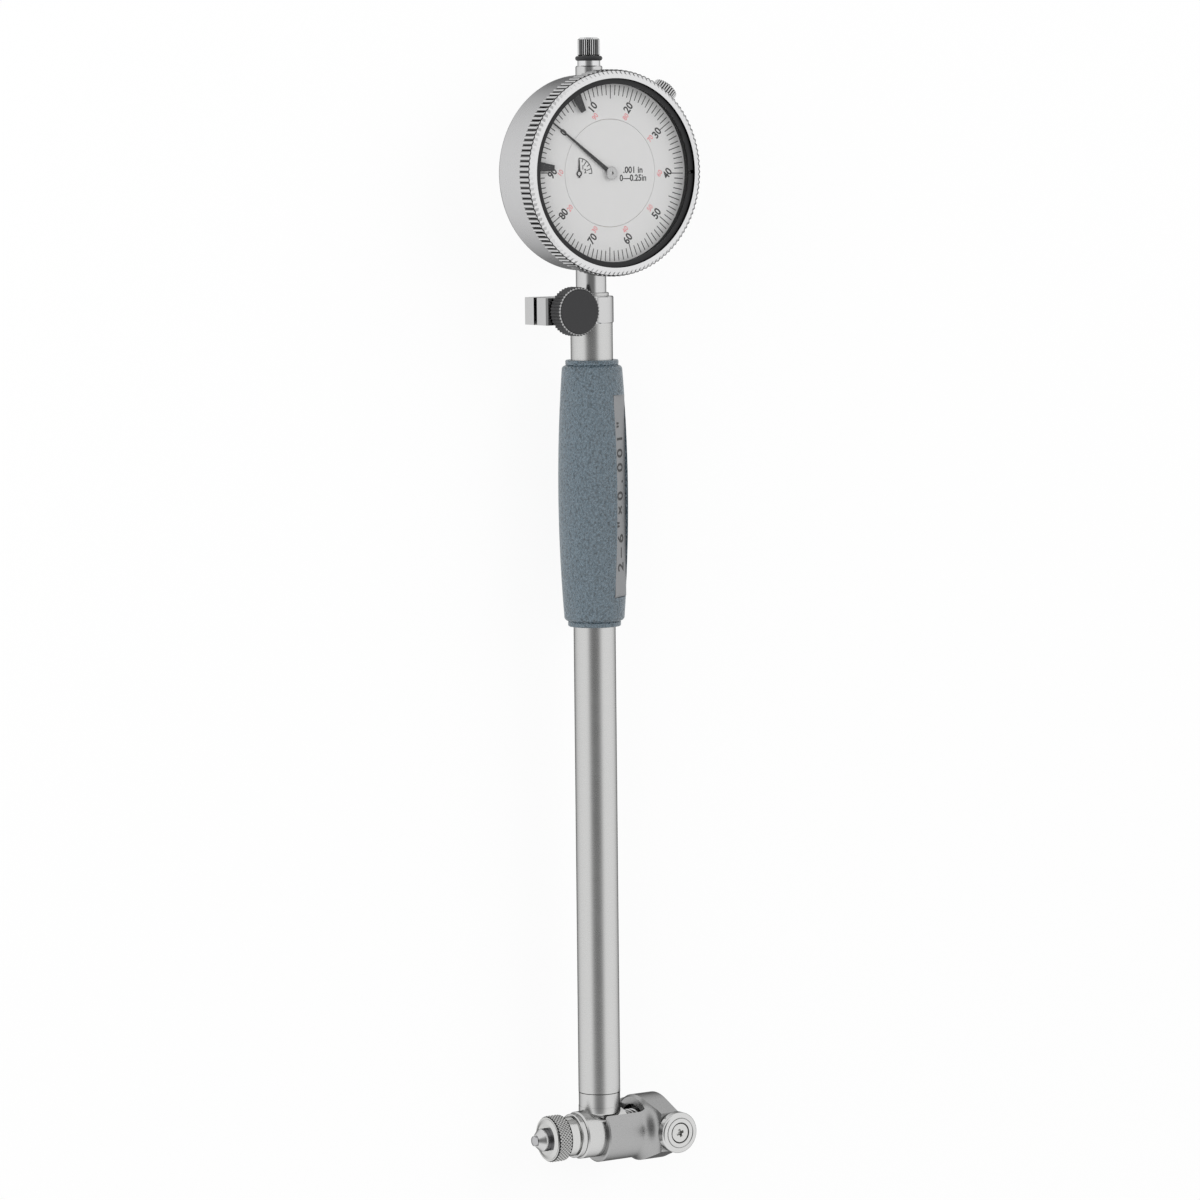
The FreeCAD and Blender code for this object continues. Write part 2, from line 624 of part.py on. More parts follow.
stop_hole = cylinder(d.stop_r + d.fit, 6.0, d.stop_x, -bridge_r - 3, 0.0, X_AXIS, -90)
keep(cut(bridge, joined([bridge_slot, stop_hole])), "guide_bridge")
keep(cylinder(d.stop_r, 2.7, d.stop_x, -bridge_r + 0.1, 0.0, X_AXIS, -90), "guide_stop_screw")

# Guide wheels on shouldered screws, one each side of the block.
wheel_in = d.block_half + d.wheel_gap
wheel_out = wheel_in + d.wheel_len
wheel_round_at = d.wheel_r - d.wheel_round
thread_end = d.block_half - 5


def wheel_and_screw(side, degrees):
    wheel = turned("wheel_" + side, "Z", [
        (d.axle_r + d.run, wheel_in), (wheel_round_at, wheel_in, d.wheel_round),
        (d.wheel_r, wheel_in + d.wheel_round), (d.wheel_r, wheel_out - d.wheel_round, d.wheel_round),
        (wheel_round_at, wheel_out), (d.screw_head_r + 0.15, wheel_out),
        (d.axle_r + d.run, wheel_out - 1.1)])
    screw = turned("screw_" + side, "Z", [
        (0, thread_end), (d.screw_r, thread_end), (d.screw_r, d.block_half), (d.axle_r, d.block_half),
        (d.axle_r, wheel_out - 1.1), (d.screw_head_r, wheel_out - 0.1), (0, wheel_out - 0.1)], False)
    for item in (wheel, screw):
        turn(item, X_AXIS, degrees)
        place(item, wheel_x)
    return screw


keep(group([wheel_and_screw("front", 0), wheel_and_screw("rear", 180)]), "wheel_screws")

# Bridge spring: an open coil round the contact's guide nose.
spring_low = float(d.head_right) + 0.05
spring_high = float(bridge_floor) - 0.05
bridge_spring = coded(coil_shape(float(d.bridge_spring_r), float(d.bridge_wire), spring_low, spring_high, 4))
turn(bridge_spring, Y_AXIS, 90)
keep(bridge_spring, "guide_spring")

# ================================================================ handle
collar_top = collar_y + d.collar_len
collet_top = collar_top + d.collet_lip
tube = turned("handle_tube", "Y", [
    (tube_bore, d.boss_top), (d.tube_od / 2 - 0.15, d.boss_top), (d.tube_od / 2, d.boss_top + 0.15),
    (d.tube_od / 2, collar_y), (collet_r, collar_y), (collet_r, collet_top - 0.2),
    (collet_r - 0.2, collet_top), (tube_bore, collet_top)])
cut_through(tube, "XY_Plane", [lambda s: outline(s, [
    (-d.tube_od, collar_y + 0.3), (d.tube_od, collar_y + 0.3), (d.tube_od, collet_top + 1),
    (-d.tube_od, collet_top + 1)])], "collet_slot", d.collet_slot, None)

# Grip: moulded plastic barrel with a plain ring at each end and a recess for the range plate.
grip_top = grip_y + d.grip_len
barrel_low = grip_y + d.grip_ring_len + d.grip_shoulder
barrel_high = grip_top - d.grip_ring_len - d.grip_shoulder
groove_r = grip_end_r - d.grip_shoulder
barrel_arc = arc_radius(barrel_high - barrel_low, grip_mid_r - grip_end_r)
grip_bore = d.tube_od / 2 + d.seat
grip_blank = turned("grip_blank", "Y", [
    (grip_bore, grip_y), (grip_ring_r - 0.2, grip_y), (grip_ring_r, grip_y + 0.2),
    (grip_ring_r, grip_y + d.grip_ring_len - 0.2), (groove_r, grip_y + d.grip_ring_len),
    (groove_r, grip_y + d.grip_ring_len + 0.1, d.grip_shoulder), (grip_end_r, barrel_low + 0.1, barrel_arc),
    (grip_end_r, barrel_high - 0.1, d.grip_shoulder), (groove_r, grip_top - d.grip_ring_len - 0.1),
    (groove_r, grip_top - d.grip_ring_len), (grip_ring_r, grip_top - d.grip_ring_len + 0.2),
    (grip_ring_r, grip_top - 0.2), (grip_ring_r - 0.2, grip_top), (grip_bore, grip_top)], False)


def range_plate_block(width, length, low, high):
    """A flat block seated along the handle, turned about it towards the bridge side."""
    body = padded("plate_block", [
        (-width / 2, plate_y + (d.plate_len - length) / 2), (width / 2, plate_y + (d.plate_len - length) / 2),
        (width / 2, plate_y + (d.plate_len + length) / 2),
        (-width / 2, plate_y + (d.plate_len + length) / 2)], Dim(0.0, "0"), high - low, False)
    turn(body, Y_AXIS, d.plate_turn)
    place(body, low * sine_of(d.plate_turn), 0.0, low * sine_of(90 - d.plate_turn))
    return body


recess = range_plate_block(d.plate_w, d.plate_len, plate_floor, grip_mid_r + 2)
keep(cut(grip_blank, recess), "grip")
keep(range_plate_block(d.plate_w - 2 * d.plate_gap, d.plate_len - 2 * d.plate_gap,
                       plate_floor, plate_floor + d.plate_thick), "range_plate")

# Push rod from the crank to the indicator, with its guide bush and return spring.
rod_low = d.arm + d.arm_nose + d.run
rod_high = point_low - d.fit
turned("push_rod", "Y", [
    (0, rod_low), (d.rod_r, rod_low), (d.rod_r, rod_collar_y), (d.rod_collar_r, rod_collar_y),
    (d.rod_collar_r, rod_collar_y + 1.5), (d.rod_r, rod_collar_y + 1.5), (d.rod_r, rod_high),
    (0, rod_high)])
turned("rod_bush", "Y", drum(rod_bush_y, rod_bush_y + d.rod_bush_len, d.stem_r, rod_hole, 0.2, 0.2))
rod_spring = coded(coil_shape(2.3, 0.5, float(rod_collar_y) + 1.55, float(rod_bush_y) - 0.05, 5, 4))
turn(rod_spring, X_AXIS, -90)
keep(rod_spring, "rod_spring")

# ================================================================ stem clamp
# A split collar with two ears round the collet, drawn together by a knurled knob on a stud.
clamp_mid = collar_y + d.collar_len / 2
collar = doc.addObject("PartDesign::Body", "Body")
ear_sketch = new_sketch(collar, "XY_Plane", "collar_ears")
outline(ear_sketch, [
    (d.ear_bevel - d.ear_reach, -d.ear_half), (0.0, -d.ear_half), (0.0, d.ear_half),
    (d.ear_bevel - d.ear_reach, d.ear_half), (-d.ear_reach, d.ear_half - d.ear_bevel),
    (-d.ear_reach, d.ear_bevel - d.ear_half)])
ears = collar.newObject("PartDesign::Pad", "collar_ear_pad")
ears.Profile = ear_sketch
bind(ears, "Length", d.collar_len)
turned_feature(collar, "Z", drum(Dim(0.0, "0"), d.collar_len, collar_r, 0.0, 0.3, 0.3), name="ring")
cut_through(collar, "XY_Plane", [lambda s: ring_mark(s, 0.0, 0.0, collet_r + d.fit)], "bore")
cut_through(collar, "XY_Plane", [lambda s: outline(s, [
    (-d.ear_reach - 1, -d.ear_gap / 2), (0.0, -d.ear_gap / 2), (0.0, d.ear_gap / 2),
    (-d.ear_reach - 1, d.ear_gap / 2)])], "gap")
cut_through(collar, "XZ_Plane", [lambda s: ring_mark(
    s, -d.knob_x, d.collar_len / 2, d.stud_r + d.run)], "stud_hole")
turn(collar, X_AXIS, -90)
place(collar, 0.0, collar_y)
keep(collar, "clamp_collar")

knob_low = d.ear_half + d.knob_stand
knob_high = knob_low + d.knob_len
knob_rim = fluted(d.knob_teeth, 0.4, [
    (d.knob_r - 0.3, knob_low), (d.knob_r, knob_low + 0.3), (d.knob_r, knob_high - 0.7),
    (d.knob_r - 0.4, knob_high - 0.25)])
knob_face = turned("knob_face", "Z", drum(knob_low + 1, knob_high, d.knob_r - 0.75, 0.0, 0.0, 0.15), False)
knob_hub = turned("knob_hub", "Z", drum(d.ear_half, knob_low + 1, d.knob_hub_r), False)
stud_end = knob_high - 1.5
knob_bore = turned("knob_bore", "Z", drum(d.ear_half - 1, stud_end, d.stud_r + d.fit), False)
knob = cut(joined([knob_rim, knob_face, knob_hub]), knob_bore)
place(knob, -d.knob_x, clamp_mid)
keep(knob, "clamp_knob")
keep(cylinder(d.stud_r, stud_end + d.ear_half, -d.knob_x, clamp_mid, -d.ear_half), "clamp_stud")

# ================================================================ indicator case
bushing_foot = wall_in - d.bushing_in
back_open_r = cover_r - d.flange_in
cover_floor = d.cover_thick - d.case_back
flange_top = cover_floor + d.flange_thick
ledge_top = d.ledge_z + d.plate_thin
plate_top = ledge_top + d.plate_thin
screw_at = (cover_r - d.flange_in / 2) * math.sqrt(0.5)
screw_spots = [(screw_at, screw_at), (-screw_at, screw_at), (-screw_at, -screw_at), (screw_at, -screw_at)]
lock_angle = math.radians(float(d.lock_turn))
lock_axis = Vector(-math.sin(lock_angle), math.cos(lock_angle), 0)


def on_lock(thing, radius):
    """Stand a Z-built piece on the bezel lock's radial axis."""
    turn(thing, lock_axis, 90)
    return place(thing, radius * sine_of(90 - d.lock_turn), dial_y + radius * sine_of(d.lock_turn), d.lock_z)


case = doc.addObject("PartDesign::Body", "Body")
turned_feature(case, "Z", [
    (back_open_r, cover_floor), (cover_r + d.seat, cover_floor), (cover_r + d.seat, -d.case_back),
    (d.case_r - d.case_round, -d.case_back, d.case_round), (d.case_r, d.case_round - d.case_back),
    (d.case_r, d.case_front), (rim_r, d.case_front), (rim_r, rim_front), (wall_in, rim_front),
    (wall_in, ledge_top), (ledge_r, ledge_top), (ledge_r, d.ledge_z), (wall_in, d.ledge_z),
    (wall_in, flange_top), (back_open_r, flange_top)], name="shell")
cut_through(case, "XY_Plane", [lambda s, x=x, y=y: ring_mark(s, x, y, d.cover_thread_r + d.fit)
                               for x, y in screw_spots], "cover_threads")
place(case, 0.0, dial_y)
stem_hole = cylinder(d.stem_r + d.fit, 6.0, 0.0, dial_y - ledge_r, 0.0, X_AXIS, 90)
bushing_hole = cylinder(d.bushing_r + d.fit, 6.0, 0.0, dial_y + bushing_foot - 1, 0.0, X_AXIS, -90)
lock_hole = on_lock(cylinder(d.lock_thread_r + d.fit, 4.0), rim_r)
keep(cut(case, joined([stem_hole, bushing_hole, lock_hole])), "indicator_case")


def cover_screw(x, y, slack, label):
    body = turned(label, "Z", [
        (0, -d.case_back), (d.cover_head_r + slack, -d.case_back), (d.cover_thread_r + slack, cover_floor - 0.3),
        (d.cover_thread_r + slack, flange_top), (0, flange_top)], False)
    return place(body, x, dial_y + y)


cover = turned("cover_blank", "Z", drum(-d.case_back, cover_floor, cover_r), False)
place(cover, 0.0, dial_y)
keep(cut(cover, joined([cover_screw(x, y, d.fit, "screw_hole") for x, y in screw_spots])), "back_cover")
keep(group([cover_screw(x, y, 0.0, "screw") for x, y in screw_spots]), "cover_screws")

spindle_bore = d.spindle_r + d.run
turned("indicator_stem", "Y", [
    (spindle_bore, stem_low), (d.stem_r - 0.3, stem_low), (d.stem_r, stem_low + 0.3),
    (d.stem_r, dial_y - ledge_r), (spindle_bore, dial_y - ledge_r)])
cap_seat = cap_low - 0.5
turned("upper_bushing", "Y", [
    (spindle_bore, dial_y + bushing_foot), (d.bushing_r, dial_y + bushing_foot),
    (d.bushing_r, bushing_top - 0.3), (d.bushing_r - 0.3, bushing_top), (d.cap_r + d.run, bushing_top),
    (d.cap_r + d.run, cap_seat), (spindle_bore, cap_seat)])

# Bezel lock: a knurled screw on a small boss at the side of the case.
boss_blank = on_lock(cylinder(d.lock_boss_r, lock_start - rim_r), rim_r)
case_room = cylinder(d.case_r + d.fit, d.case_back + d.case_front + 10, 0.0, dial_y, -d.case_back - 5)
boss_solid = cut(boss_blank, case_room)
boss_hole = on_lock(cylinder(d.lock_thread_r + d.run, lock_start - rim_r + 2), rim_r - 1)
keep(cut(boss_solid, boss_hole), "lock_boss")
lock_head = on_lock(fluted(d.lock_teeth, 0.35, [
    (d.lock_r - 0.3, 0.0), (d.lock_r, 0.3), (d.lock_r, d.lock_len - 0.5), (d.lock_r - 0.5, d.lock_len)]),
    lock_start + d.fit)
lock_shank = on_lock(cylinder(d.lock_thread_r, lock_start - rim_r + 1), rim_r + 0.1)
keep(joined([lock_head, lock_shank]), "bezel_lock_screw")

# ================================================================ movement
# Rack, two gear stages to the centre, and a side train to the counter hand.
rack_module = d.rack_pitch / math.pi
first_x = -d.rack_line - rack_module * d.rack_pinion / 2
first_reach = d.fine_module * (d.drive_teeth + d.centre_teeth) / 2
first_y = -root_of(first_reach * first_reach - first_x * first_x)
side_dx = -d.counter_x - first_x
side_module = root_of(side_dx * side_dx + first_y * first_y) * 2 / (d.counter_pinion + d.counter_teeth)
plate_z = d.rear_plate_z
plate_front = plate_z + d.plate_thin
arbor_bore = d.arbor_r + d.run
spots = [(first_x, first_y), (Dim(0.0, "0"), Dim(0.0, "0")), (-d.counter_x, Dim(0.0, "0"))]


def at_dial(thing, x=0.0, y=0.0, z=0.0):
    return place(thing, x, dial_y + y, z)


half = d.rear_plate_half
rear_plate = padded("rear_plate", [(-half, -half), (half, -half), (half, half), (-half, half)],
                    plate_z, plate_front, holes=[(x, y, arbor_bore) for x, y in spots])
at_dial(rear_plate, z=plate_z)
pillar_at = half - 2.0
keep(group([at_dial(cylinder(d.pillar_r, ledge_top - plate_front), x, y, plate_front)
            for x in (-pillar_at, pillar_at) for y in (-pillar_at, pillar_at)]), "plate_pillars")
front_plate = doc.addObject("PartDesign::Body", "Body")
turned_feature(front_plate, "Z", drum(ledge_top, plate_top, wall_in - d.fit))
cut_through(front_plate, "XY_Plane", [lambda s, x=x, y=y: ring_mark(s, x, y, arbor_bore) for x, y in spots], "bores")
at_dial(front_plate)
keep(front_plate, "front_plate")

# Spindle: turned rod with a stop collar and a top stub; the rack and the pin hole are cut into it.
stop_y = dial_y + d.stop_collar_at
pin_y = dial_y + d.guide_pin_at
spindle_rod = turned("spindle_rod", "Y", [
    (0, spindle_low), (d.spindle_r - 0.2, spindle_low), (d.spindle_r, spindle_low + 0.2),
    (d.spindle_r, stop_y), (d.stop_collar_r, stop_y), (d.stop_collar_r, stop_y + 1), (d.spindle_r, stop_y + 1),
    (d.spindle_r, cap_low - 0.1), (d.stub_r, cap_low - 0.1), (d.stub_r, stub_top), (0, stub_top)], False)


def rack_tool(pitch, line, teeth):
    """What a rack cutter takes off the spindle, about the pinion's level."""
    module = pitch / math.pi
    tip = -(line + 0.75 * module)
    root = -(line - 1.05 * module)
    low = (2.5 - teeth) * pitch
    points = [Vector(-3.5, low - 1.5, -3), Vector(root, low - 1.5, -3)]
    for index in range(teeth):
        middle = low + index * pitch
        points += [Vector(root, middle - module, -3), Vector(tip, middle - 0.38 * module, -3),
                   Vector(tip, middle + 0.38 * module, -3), Vector(root, middle + module, -3)]
    top = low + (teeth - 1) * pitch + 1.5
    points += [Vector(root, top, -3), Vector(-3.5, top, -3)]
    return Part.Face(Part.makePolygon(points + [points[0]])).extrude(Vector(0, 0, 6))


rack_cutter = coded(rack_tool(float(d.rack_pitch), float(d.rack_line), int(float(d.rack_teeth))))
at_dial(rack_cutter, y=first_y)
pin_hole = cylinder(d.guide_pin_r + d.fit, 4.0, 0.3, pin_y, 0.0, Y_AXIS, 90)
keep(cut(spindle_rod, joined([rack_cutter, pin_hole])), "spindle")
keep(cylinder(d.guide_pin_r, 4.6, 0.4, pin_y, 0.0, Y_AXIS, 90), "guide_pin")
turned("contact_point", "Y", [
    (0, point_low, 4.0), (d.point_r, point_low + 0.5), (d.point_r, spindle_low),
    (0, spindle_low)])
guide_block = block(2.2, 9.0, plate_z + 2.1, 3.1, pin_y - 3.5, -2.1)
guide_slot = block(4.0, 4.4, 2 * (d.guide_pin_r + d.run), 2.0, pin_y - 1.0, -d.guide_pin_r - d.run)
keep(cut(guide_block, guide_slot), "spindle_guide")
spring_from = float(stop_y) + 1.05
spring_to = float(dial_y + bushing_foot) - 0.05
main_spring = coded(coil_shape(float(d.main_spring_r), float(d.main_wire), spring_from, spring_to, 6, 4))
turn(main_spring, X_AXIS, -90)
keep(main_spring, "return_spring")

rack_teeth_z = (-1.2, 1.8)
first_pinion = gear_shape(int(float(d.rack_pinion)), float(rack_module), rack_teeth_z[0], rack_teeth_z[1])
first_stub = Part.makeCylinder(float(d.arbor_r), float(plate_top) - 0.1 - rack_teeth_z[0],
                               Vector(0, 0, rack_teeth_z[0]))
side_pinion = gear_shape(int(float(d.counter_pinion)), float(side_module), 5.0, 6.0)
first_arbor = coded(first_pinion.fuse([first_stub, side_pinion]))
keep(at_dial(first_arbor, first_x, first_y), "rack_arbor")
drive_gear = coded(gear_shape(int(float(d.drive_teeth)), float(d.fine_module), 3.4, 4.2, 0.0,
                              float(d.arbor_r + d.fit)))
keep(at_dial(drive_gear, first_x, first_y), "drive_gear")

to_centre = math.atan2(-float(first_y), -float(first_x))
centre_phase = meshed_phase(int(float(d.drive_teeth)), 0.0, int(float(d.centre_teeth)), to_centre)
centre_pinion = gear_shape(int(float(d.centre_teeth)), float(d.fine_module), 3.3, 4.4, centre_phase)
centre_shaft = Part.makeCylinder(float(d.arbor_r), 8.7, Vector(0, 0, float(plate_z) + 0.05))
keep(at_dial(coded(centre_pinion.fuse(centre_shaft))), "centre_arbor")
to_side = math.atan2(-float(first_y), float(side_dx))
side_phase = meshed_phase(int(float(d.counter_pinion)), 0.0, int(float(d.counter_teeth)), to_side)
side_gear = coded(gear_shape(int(float(d.counter_teeth)), float(side_module), 5.1, 5.9, side_phase,
                             float(d.arbor_r + d.fit)))
keep(at_dial(side_gear, -d.counter_x), "counter_gear")
keep(at_dial(cylinder(d.arbor_r, 8.2), -d.counter_x, 0.0, plate_z + 0.05), "counter_arbor")


def spiral_shape(inner, outer, turns, wire, low, high):
    """Flat spiral spring as one strip."""
    count = 20 * turns
    rims = []
    for shift in (wire / 2, -wire / 2):
        rims.append([polar(inner + (outer - inner) * k / count + shift, 2 * math.pi * turns * k / count, low)
                     for k in range(count + 1)])
    points = rims[0] + rims[1][::-1]
    return Part.Face(Part.makePolygon(points + [points[0]])).extrude(Vector(0, 0, high - low))


keep(at_dial(coded(spiral_shape(0.75, 4.0, 4, 0.15, 6.2, 6.7)), -d.counter_x), "hairspring")

# ================================================================ dial, hands and bezel
dial_low = d.dial_z - d.dial_thick
centre_disc = turned("centre_disc", "Z", drum(dial_low, d.dial_z, d.dial_split_r - d.run, 0.8), False)
feet = [cylinder(0.8, dial_low - plate_top, x, 0.0, plate_top) for x in (-7.0, 7.0)]
counter_hole = cylinder(0.8, 2.0, -d.counter_x, 0.0, dial_low - 0.5)
keep(at_dial(cut(joined([centre_disc] + feet), counter_hole)), "dial_center")
at_dial(turned("dial_ring", "Z", drum(dial_low, d.dial_z, well_r - d.dial_gap, d.dial_split_r + d.run)))

bezel_rim = fluted(d.bezel_teeth, d.bezel_depth, [
    (bezel_r - d.bezel_bevel, d.bezel_back), (bezel_r, d.bezel_back + d.bezel_bevel),
    (bezel_r, bezel_front - 2 * d.bezel_bevel), (bezel_r - 2 * d.bezel_bevel, bezel_front)])
bezel_room = turned("bezel_room", "Z", [
    (0, d.bezel_back - 1), (rim_r + d.run, d.bezel_back - 1), (rim_r + d.run, rim_front + 0.1),
    (well_r - d.shelf_in, rim_front + 0.1), (well_r - d.shelf_in, dial_low), (well_r, dial_low), (well_r, crystal_low),
    (crystal_r + d.seat, crystal_low), (crystal_r + d.seat, crystal_low + d.crystal_thick),
    (retainer_r + d.seat, crystal_low + d.crystal_thick), (retainer_r + d.seat, bezel_front + 1),
    (0, bezel_front + 1)], False)
keep(at_dial(cut(bezel_rim, bezel_room)), "bezel")
crystal_top = crystal_low + d.crystal_thick
at_dial(turned("crystal", "Z", drum(crystal_low, crystal_top, crystal_r, 0.0, 0.0, 0.1)))
retainer_ring = turned("retainer_ring", "Z", drum(
    crystal_top, crystal_top + d.retainer_thick, retainer_r, retainer_r - d.retainer_wall), False)
retainer_gap = block(6.0, d.retainer_split, 3.0, retainer_r - d.retainer_wall - 2, -d.retainer_split / 2, crystal_top - 1)
keep(at_dial(cut(retainer_ring, retainer_gap)), "crystal_retainer")


def limit_hand(label, tip, degrees):
    """Tolerance hand: a flat wedge that slides in the bezel's well, under the crystal."""
    rim = well_r - d.run
    rim_y = root_of(rim * rim - d.hand_root * d.hand_root / 4)
    hand = padded(label, [
        (-d.hand_point / 2, tip), (d.hand_point / 2, tip), (d.hand_root / 2, rim_y, rim),
        (-d.hand_root / 2, rim_y)], hand_z, hand_z + 0.4)
    turn(hand, Z_AXIS, degrees)
    return at_dial(hand, z=hand_z)


limit_hand("limit_hand_upper", well_r - d.hand_reach, d.hand_upper_turn)
limit_hand("limit_hand_left", well_r - d.hand_left_reach, d.hand_left_turn)

pointer_tip = well_r - d.pointer_short
blade = padded("blade", [
    (-0.5, -1.6), (0.5, -1.6), (0.65, 0.0), (0.12, pointer_tip), (-0.12, pointer_tip), (-0.65, 0.0)],
    d.dial_z + 0.4, d.dial_z + 0.55, False)
boss = cylinder(1.3, 0.3, 0.0, 0.0, d.dial_z + 0.3)
pointer = cut(joined([blade, boss]), cylinder(d.arbor_r + d.fit, 4.0, 0.0, 0.0, d.dial_z - 1))
turn(pointer, Z_AXIS, d.pointer_turn)
keep(at_dial(pointer), "main_pointer")
at_dial(turned("pointer_cap", "Z", drum(
    d.dial_z + 0.6 + d.fit, d.dial_z + 1.1, d.pointer_hub_r, d.arbor_r + d.fit, 0.0, 0.15)))
small_blade = padded("small_blade", [
    (-0.3, -1.2), (0.3, -1.2), (0.35, 0.0), (0.1, d.counter_hand), (-0.1, d.counter_hand), (-0.35, 0.0)],
    d.dial_z + 0.1, d.dial_z + 0.22, False)
small_boss = cylinder(0.85, 0.2, 0.0, 0.0, d.dial_z + 0.05)
small_hand = cut(joined([small_blade, small_boss]), cylinder(d.arbor_r + d.fit, 3.0, 0.0, 0.0, d.dial_z - 1))
keep(at_dial(small_hand, -d.counter_x), "counter_pointer")

# Lifting cap on the spindle's top stub, with its rubber ring.
ring_top = ring_y + d.ring_len
cap_turning = turned("cap_turning", "Y", [
    (0, cap_low), (d.cap_r, cap_low), (d.cap_r, ring_y), (d.ring_groove_r, ring_y),
    (d.ring_groove_r, ring_top), (d.cap_r - 0.5, ring_top), (d.cap_r - 0.5, cap_top - 0.4),
    (0, cap_top - 0.4)], False)
cap_knurl = fluted(d.cap_teeth, 0.3, [
    (d.cap_r - 0.3, ring_top), (d.cap_r, ring_top + 0.3), (d.cap_r, cap_top - 0.7),
    (d.cap_r - 0.8, cap_top)])
turn(cap_knurl, X_AXIS, -90)
cap_bore = cylinder(d.stub_r + d.fit, stub_top - cap_low + 1.1, 0.0, cap_low - 1, 0.0, X_AXIS, -90)
keep(cut(joined([cap_turning, cap_knurl]), cap_bore), "lifting_cap")
turned("cap_ring", "Y", [
    (d.ring_groove_r + d.fit, ring_y + d.fit),
    (d.ring_r - d.ring_bulge, ring_y + d.fit, arc_radius(d.ring_len - 2 * d.fit, d.ring_bulge)),
    (d.ring_r - d.ring_bulge, ring_top - d.fit), (d.ring_groove_r + d.fit, ring_top - d.fit)])

# ================================================================ check and export
doc.recompute()
for item in doc.Objects:
    if "Invalid" in item.State or "Error" in item.State:
        raise RuntimeError("object failed: %s (%s)" % (item.Name, item.Label))
os.makedirs("parts", exist_ok=True)
for item in PARTS:
    if item.Shape.isNull() or not item.Shape.isValid():
        raise RuntimeError("bad shape: " + item.Label)
for item in PARTS:
    item.Shape.exportStep("parts/%s.step" % item.Label)
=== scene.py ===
import json
import math

import bmesh
import bpy
from mathutils import Matrix, Vector


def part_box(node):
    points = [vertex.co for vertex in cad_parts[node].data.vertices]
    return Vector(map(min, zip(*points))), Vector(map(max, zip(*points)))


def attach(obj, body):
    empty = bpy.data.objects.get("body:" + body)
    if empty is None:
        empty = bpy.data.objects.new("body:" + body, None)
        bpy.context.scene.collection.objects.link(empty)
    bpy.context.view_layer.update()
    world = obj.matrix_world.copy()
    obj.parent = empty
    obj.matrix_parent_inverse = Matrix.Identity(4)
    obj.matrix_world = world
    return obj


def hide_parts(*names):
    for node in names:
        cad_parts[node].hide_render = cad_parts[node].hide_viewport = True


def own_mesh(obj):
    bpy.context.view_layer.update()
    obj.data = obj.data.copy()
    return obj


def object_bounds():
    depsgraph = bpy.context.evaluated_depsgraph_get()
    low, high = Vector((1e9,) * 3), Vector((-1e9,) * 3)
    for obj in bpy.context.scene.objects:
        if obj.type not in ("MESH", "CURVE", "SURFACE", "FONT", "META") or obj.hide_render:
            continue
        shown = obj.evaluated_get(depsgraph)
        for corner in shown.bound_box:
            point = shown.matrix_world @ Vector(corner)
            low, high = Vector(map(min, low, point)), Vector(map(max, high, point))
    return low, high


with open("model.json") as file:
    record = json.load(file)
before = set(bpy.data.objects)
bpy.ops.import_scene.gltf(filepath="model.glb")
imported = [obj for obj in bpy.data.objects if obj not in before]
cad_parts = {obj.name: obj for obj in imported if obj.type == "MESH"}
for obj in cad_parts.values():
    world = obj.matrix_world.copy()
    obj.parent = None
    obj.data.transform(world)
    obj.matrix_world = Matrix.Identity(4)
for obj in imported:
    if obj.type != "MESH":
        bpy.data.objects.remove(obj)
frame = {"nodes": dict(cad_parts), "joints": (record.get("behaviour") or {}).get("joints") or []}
cad_low, cad_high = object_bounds()

# ------------------------------------------------------------ room, light and camera
# The gauge lies on its back on a white table in a light tent.  The tent is bright all round and
# has a darker opening behind the camera, which gives turned metal its dark middle band.
MM = 0.001
VIEW_SIDE, VIEW_LIFT, VIEW_ROLL = math.radians(33.0), math.radians(5.66), math.radians(-0.59)
VIEW_DISTANCE, VIEW_TARGET, VIEW_LENS = 1.450, Vector((0.0, 0.150, 0.0)), 152.6
VIEW_SHIFT = (0.0046, 0.0114)
# The tent's level on glossy surfaces, where it opens behind the camera, and its fill on matt ones.
TENT, OPENING, FILL = 1.0, 0.20, 0.62
OPENING_EDGE, OPENING_CORE = 0.70, 0.97


class Term:
    """A shader socket that is added, scaled and compared like a number."""

    def __init__(self, maker, socket):
        self.maker = maker
        self.socket = socket

    def math(self, operation, *terms):
        return self.maker.node("ShaderNodeMath", {"operation": operation}, dict(enumerate(terms)))

    def __add__(self, other):
        return self.math("ADD", self, other)

    def __radd__(self, other):
        return self.math("ADD", other, self)

    def __sub__(self, other):
        return self.math("SUBTRACT", self, other)

    def __rsub__(self, other):
        return self.math("SUBTRACT", other, self)

    def __mul__(self, other):
        return self.math("MULTIPLY", self, other)

    def __rmul__(self, other):
        return self.math("MULTIPLY", other, self)

    def __gt__(self, other):
        return self.math("GREATER_THAN", self, other)


class Nodes:
    """The shader nodes of one material or of the room, all made by one method."""

    def __init__(self, owner):
        owner.use_nodes = True
        self.tree = owner.node_tree

    def feed(self, socket, value):
        if isinstance(value, Term):
            self.tree.links.new(value.socket, socket)
        elif socket.type == "RGBA" and len(value) == 3:
            socket.default_value = (*value, 1.0)
        else:
            socket.default_value = value

    def node(self, kind, settings, sockets, output=0):
        """Makes a node: its settings are set first, then its sockets get values or links."""
        node = self.tree.nodes.new(kind)
        for name, setting in settings.items():
            setattr(node, name, setting)
        for name, value in sockets.items():
            self.feed(node.inputs[name], value)
        return Term(self, node.outputs[output])

    def mix(self, share, first, second):
        """A colour between two colours."""
        return self.node("ShaderNodeMix", {"data_type": "RGBA"}, {0: share, 6: first, 7: second}, 2)

    def ray(self, kind):
        """1 for rays of one kind: Is Camera Ray, Is Glossy Ray or Is Transmission Ray."""
        return self.node("ShaderNodeLightPath", {}, {}, kind)


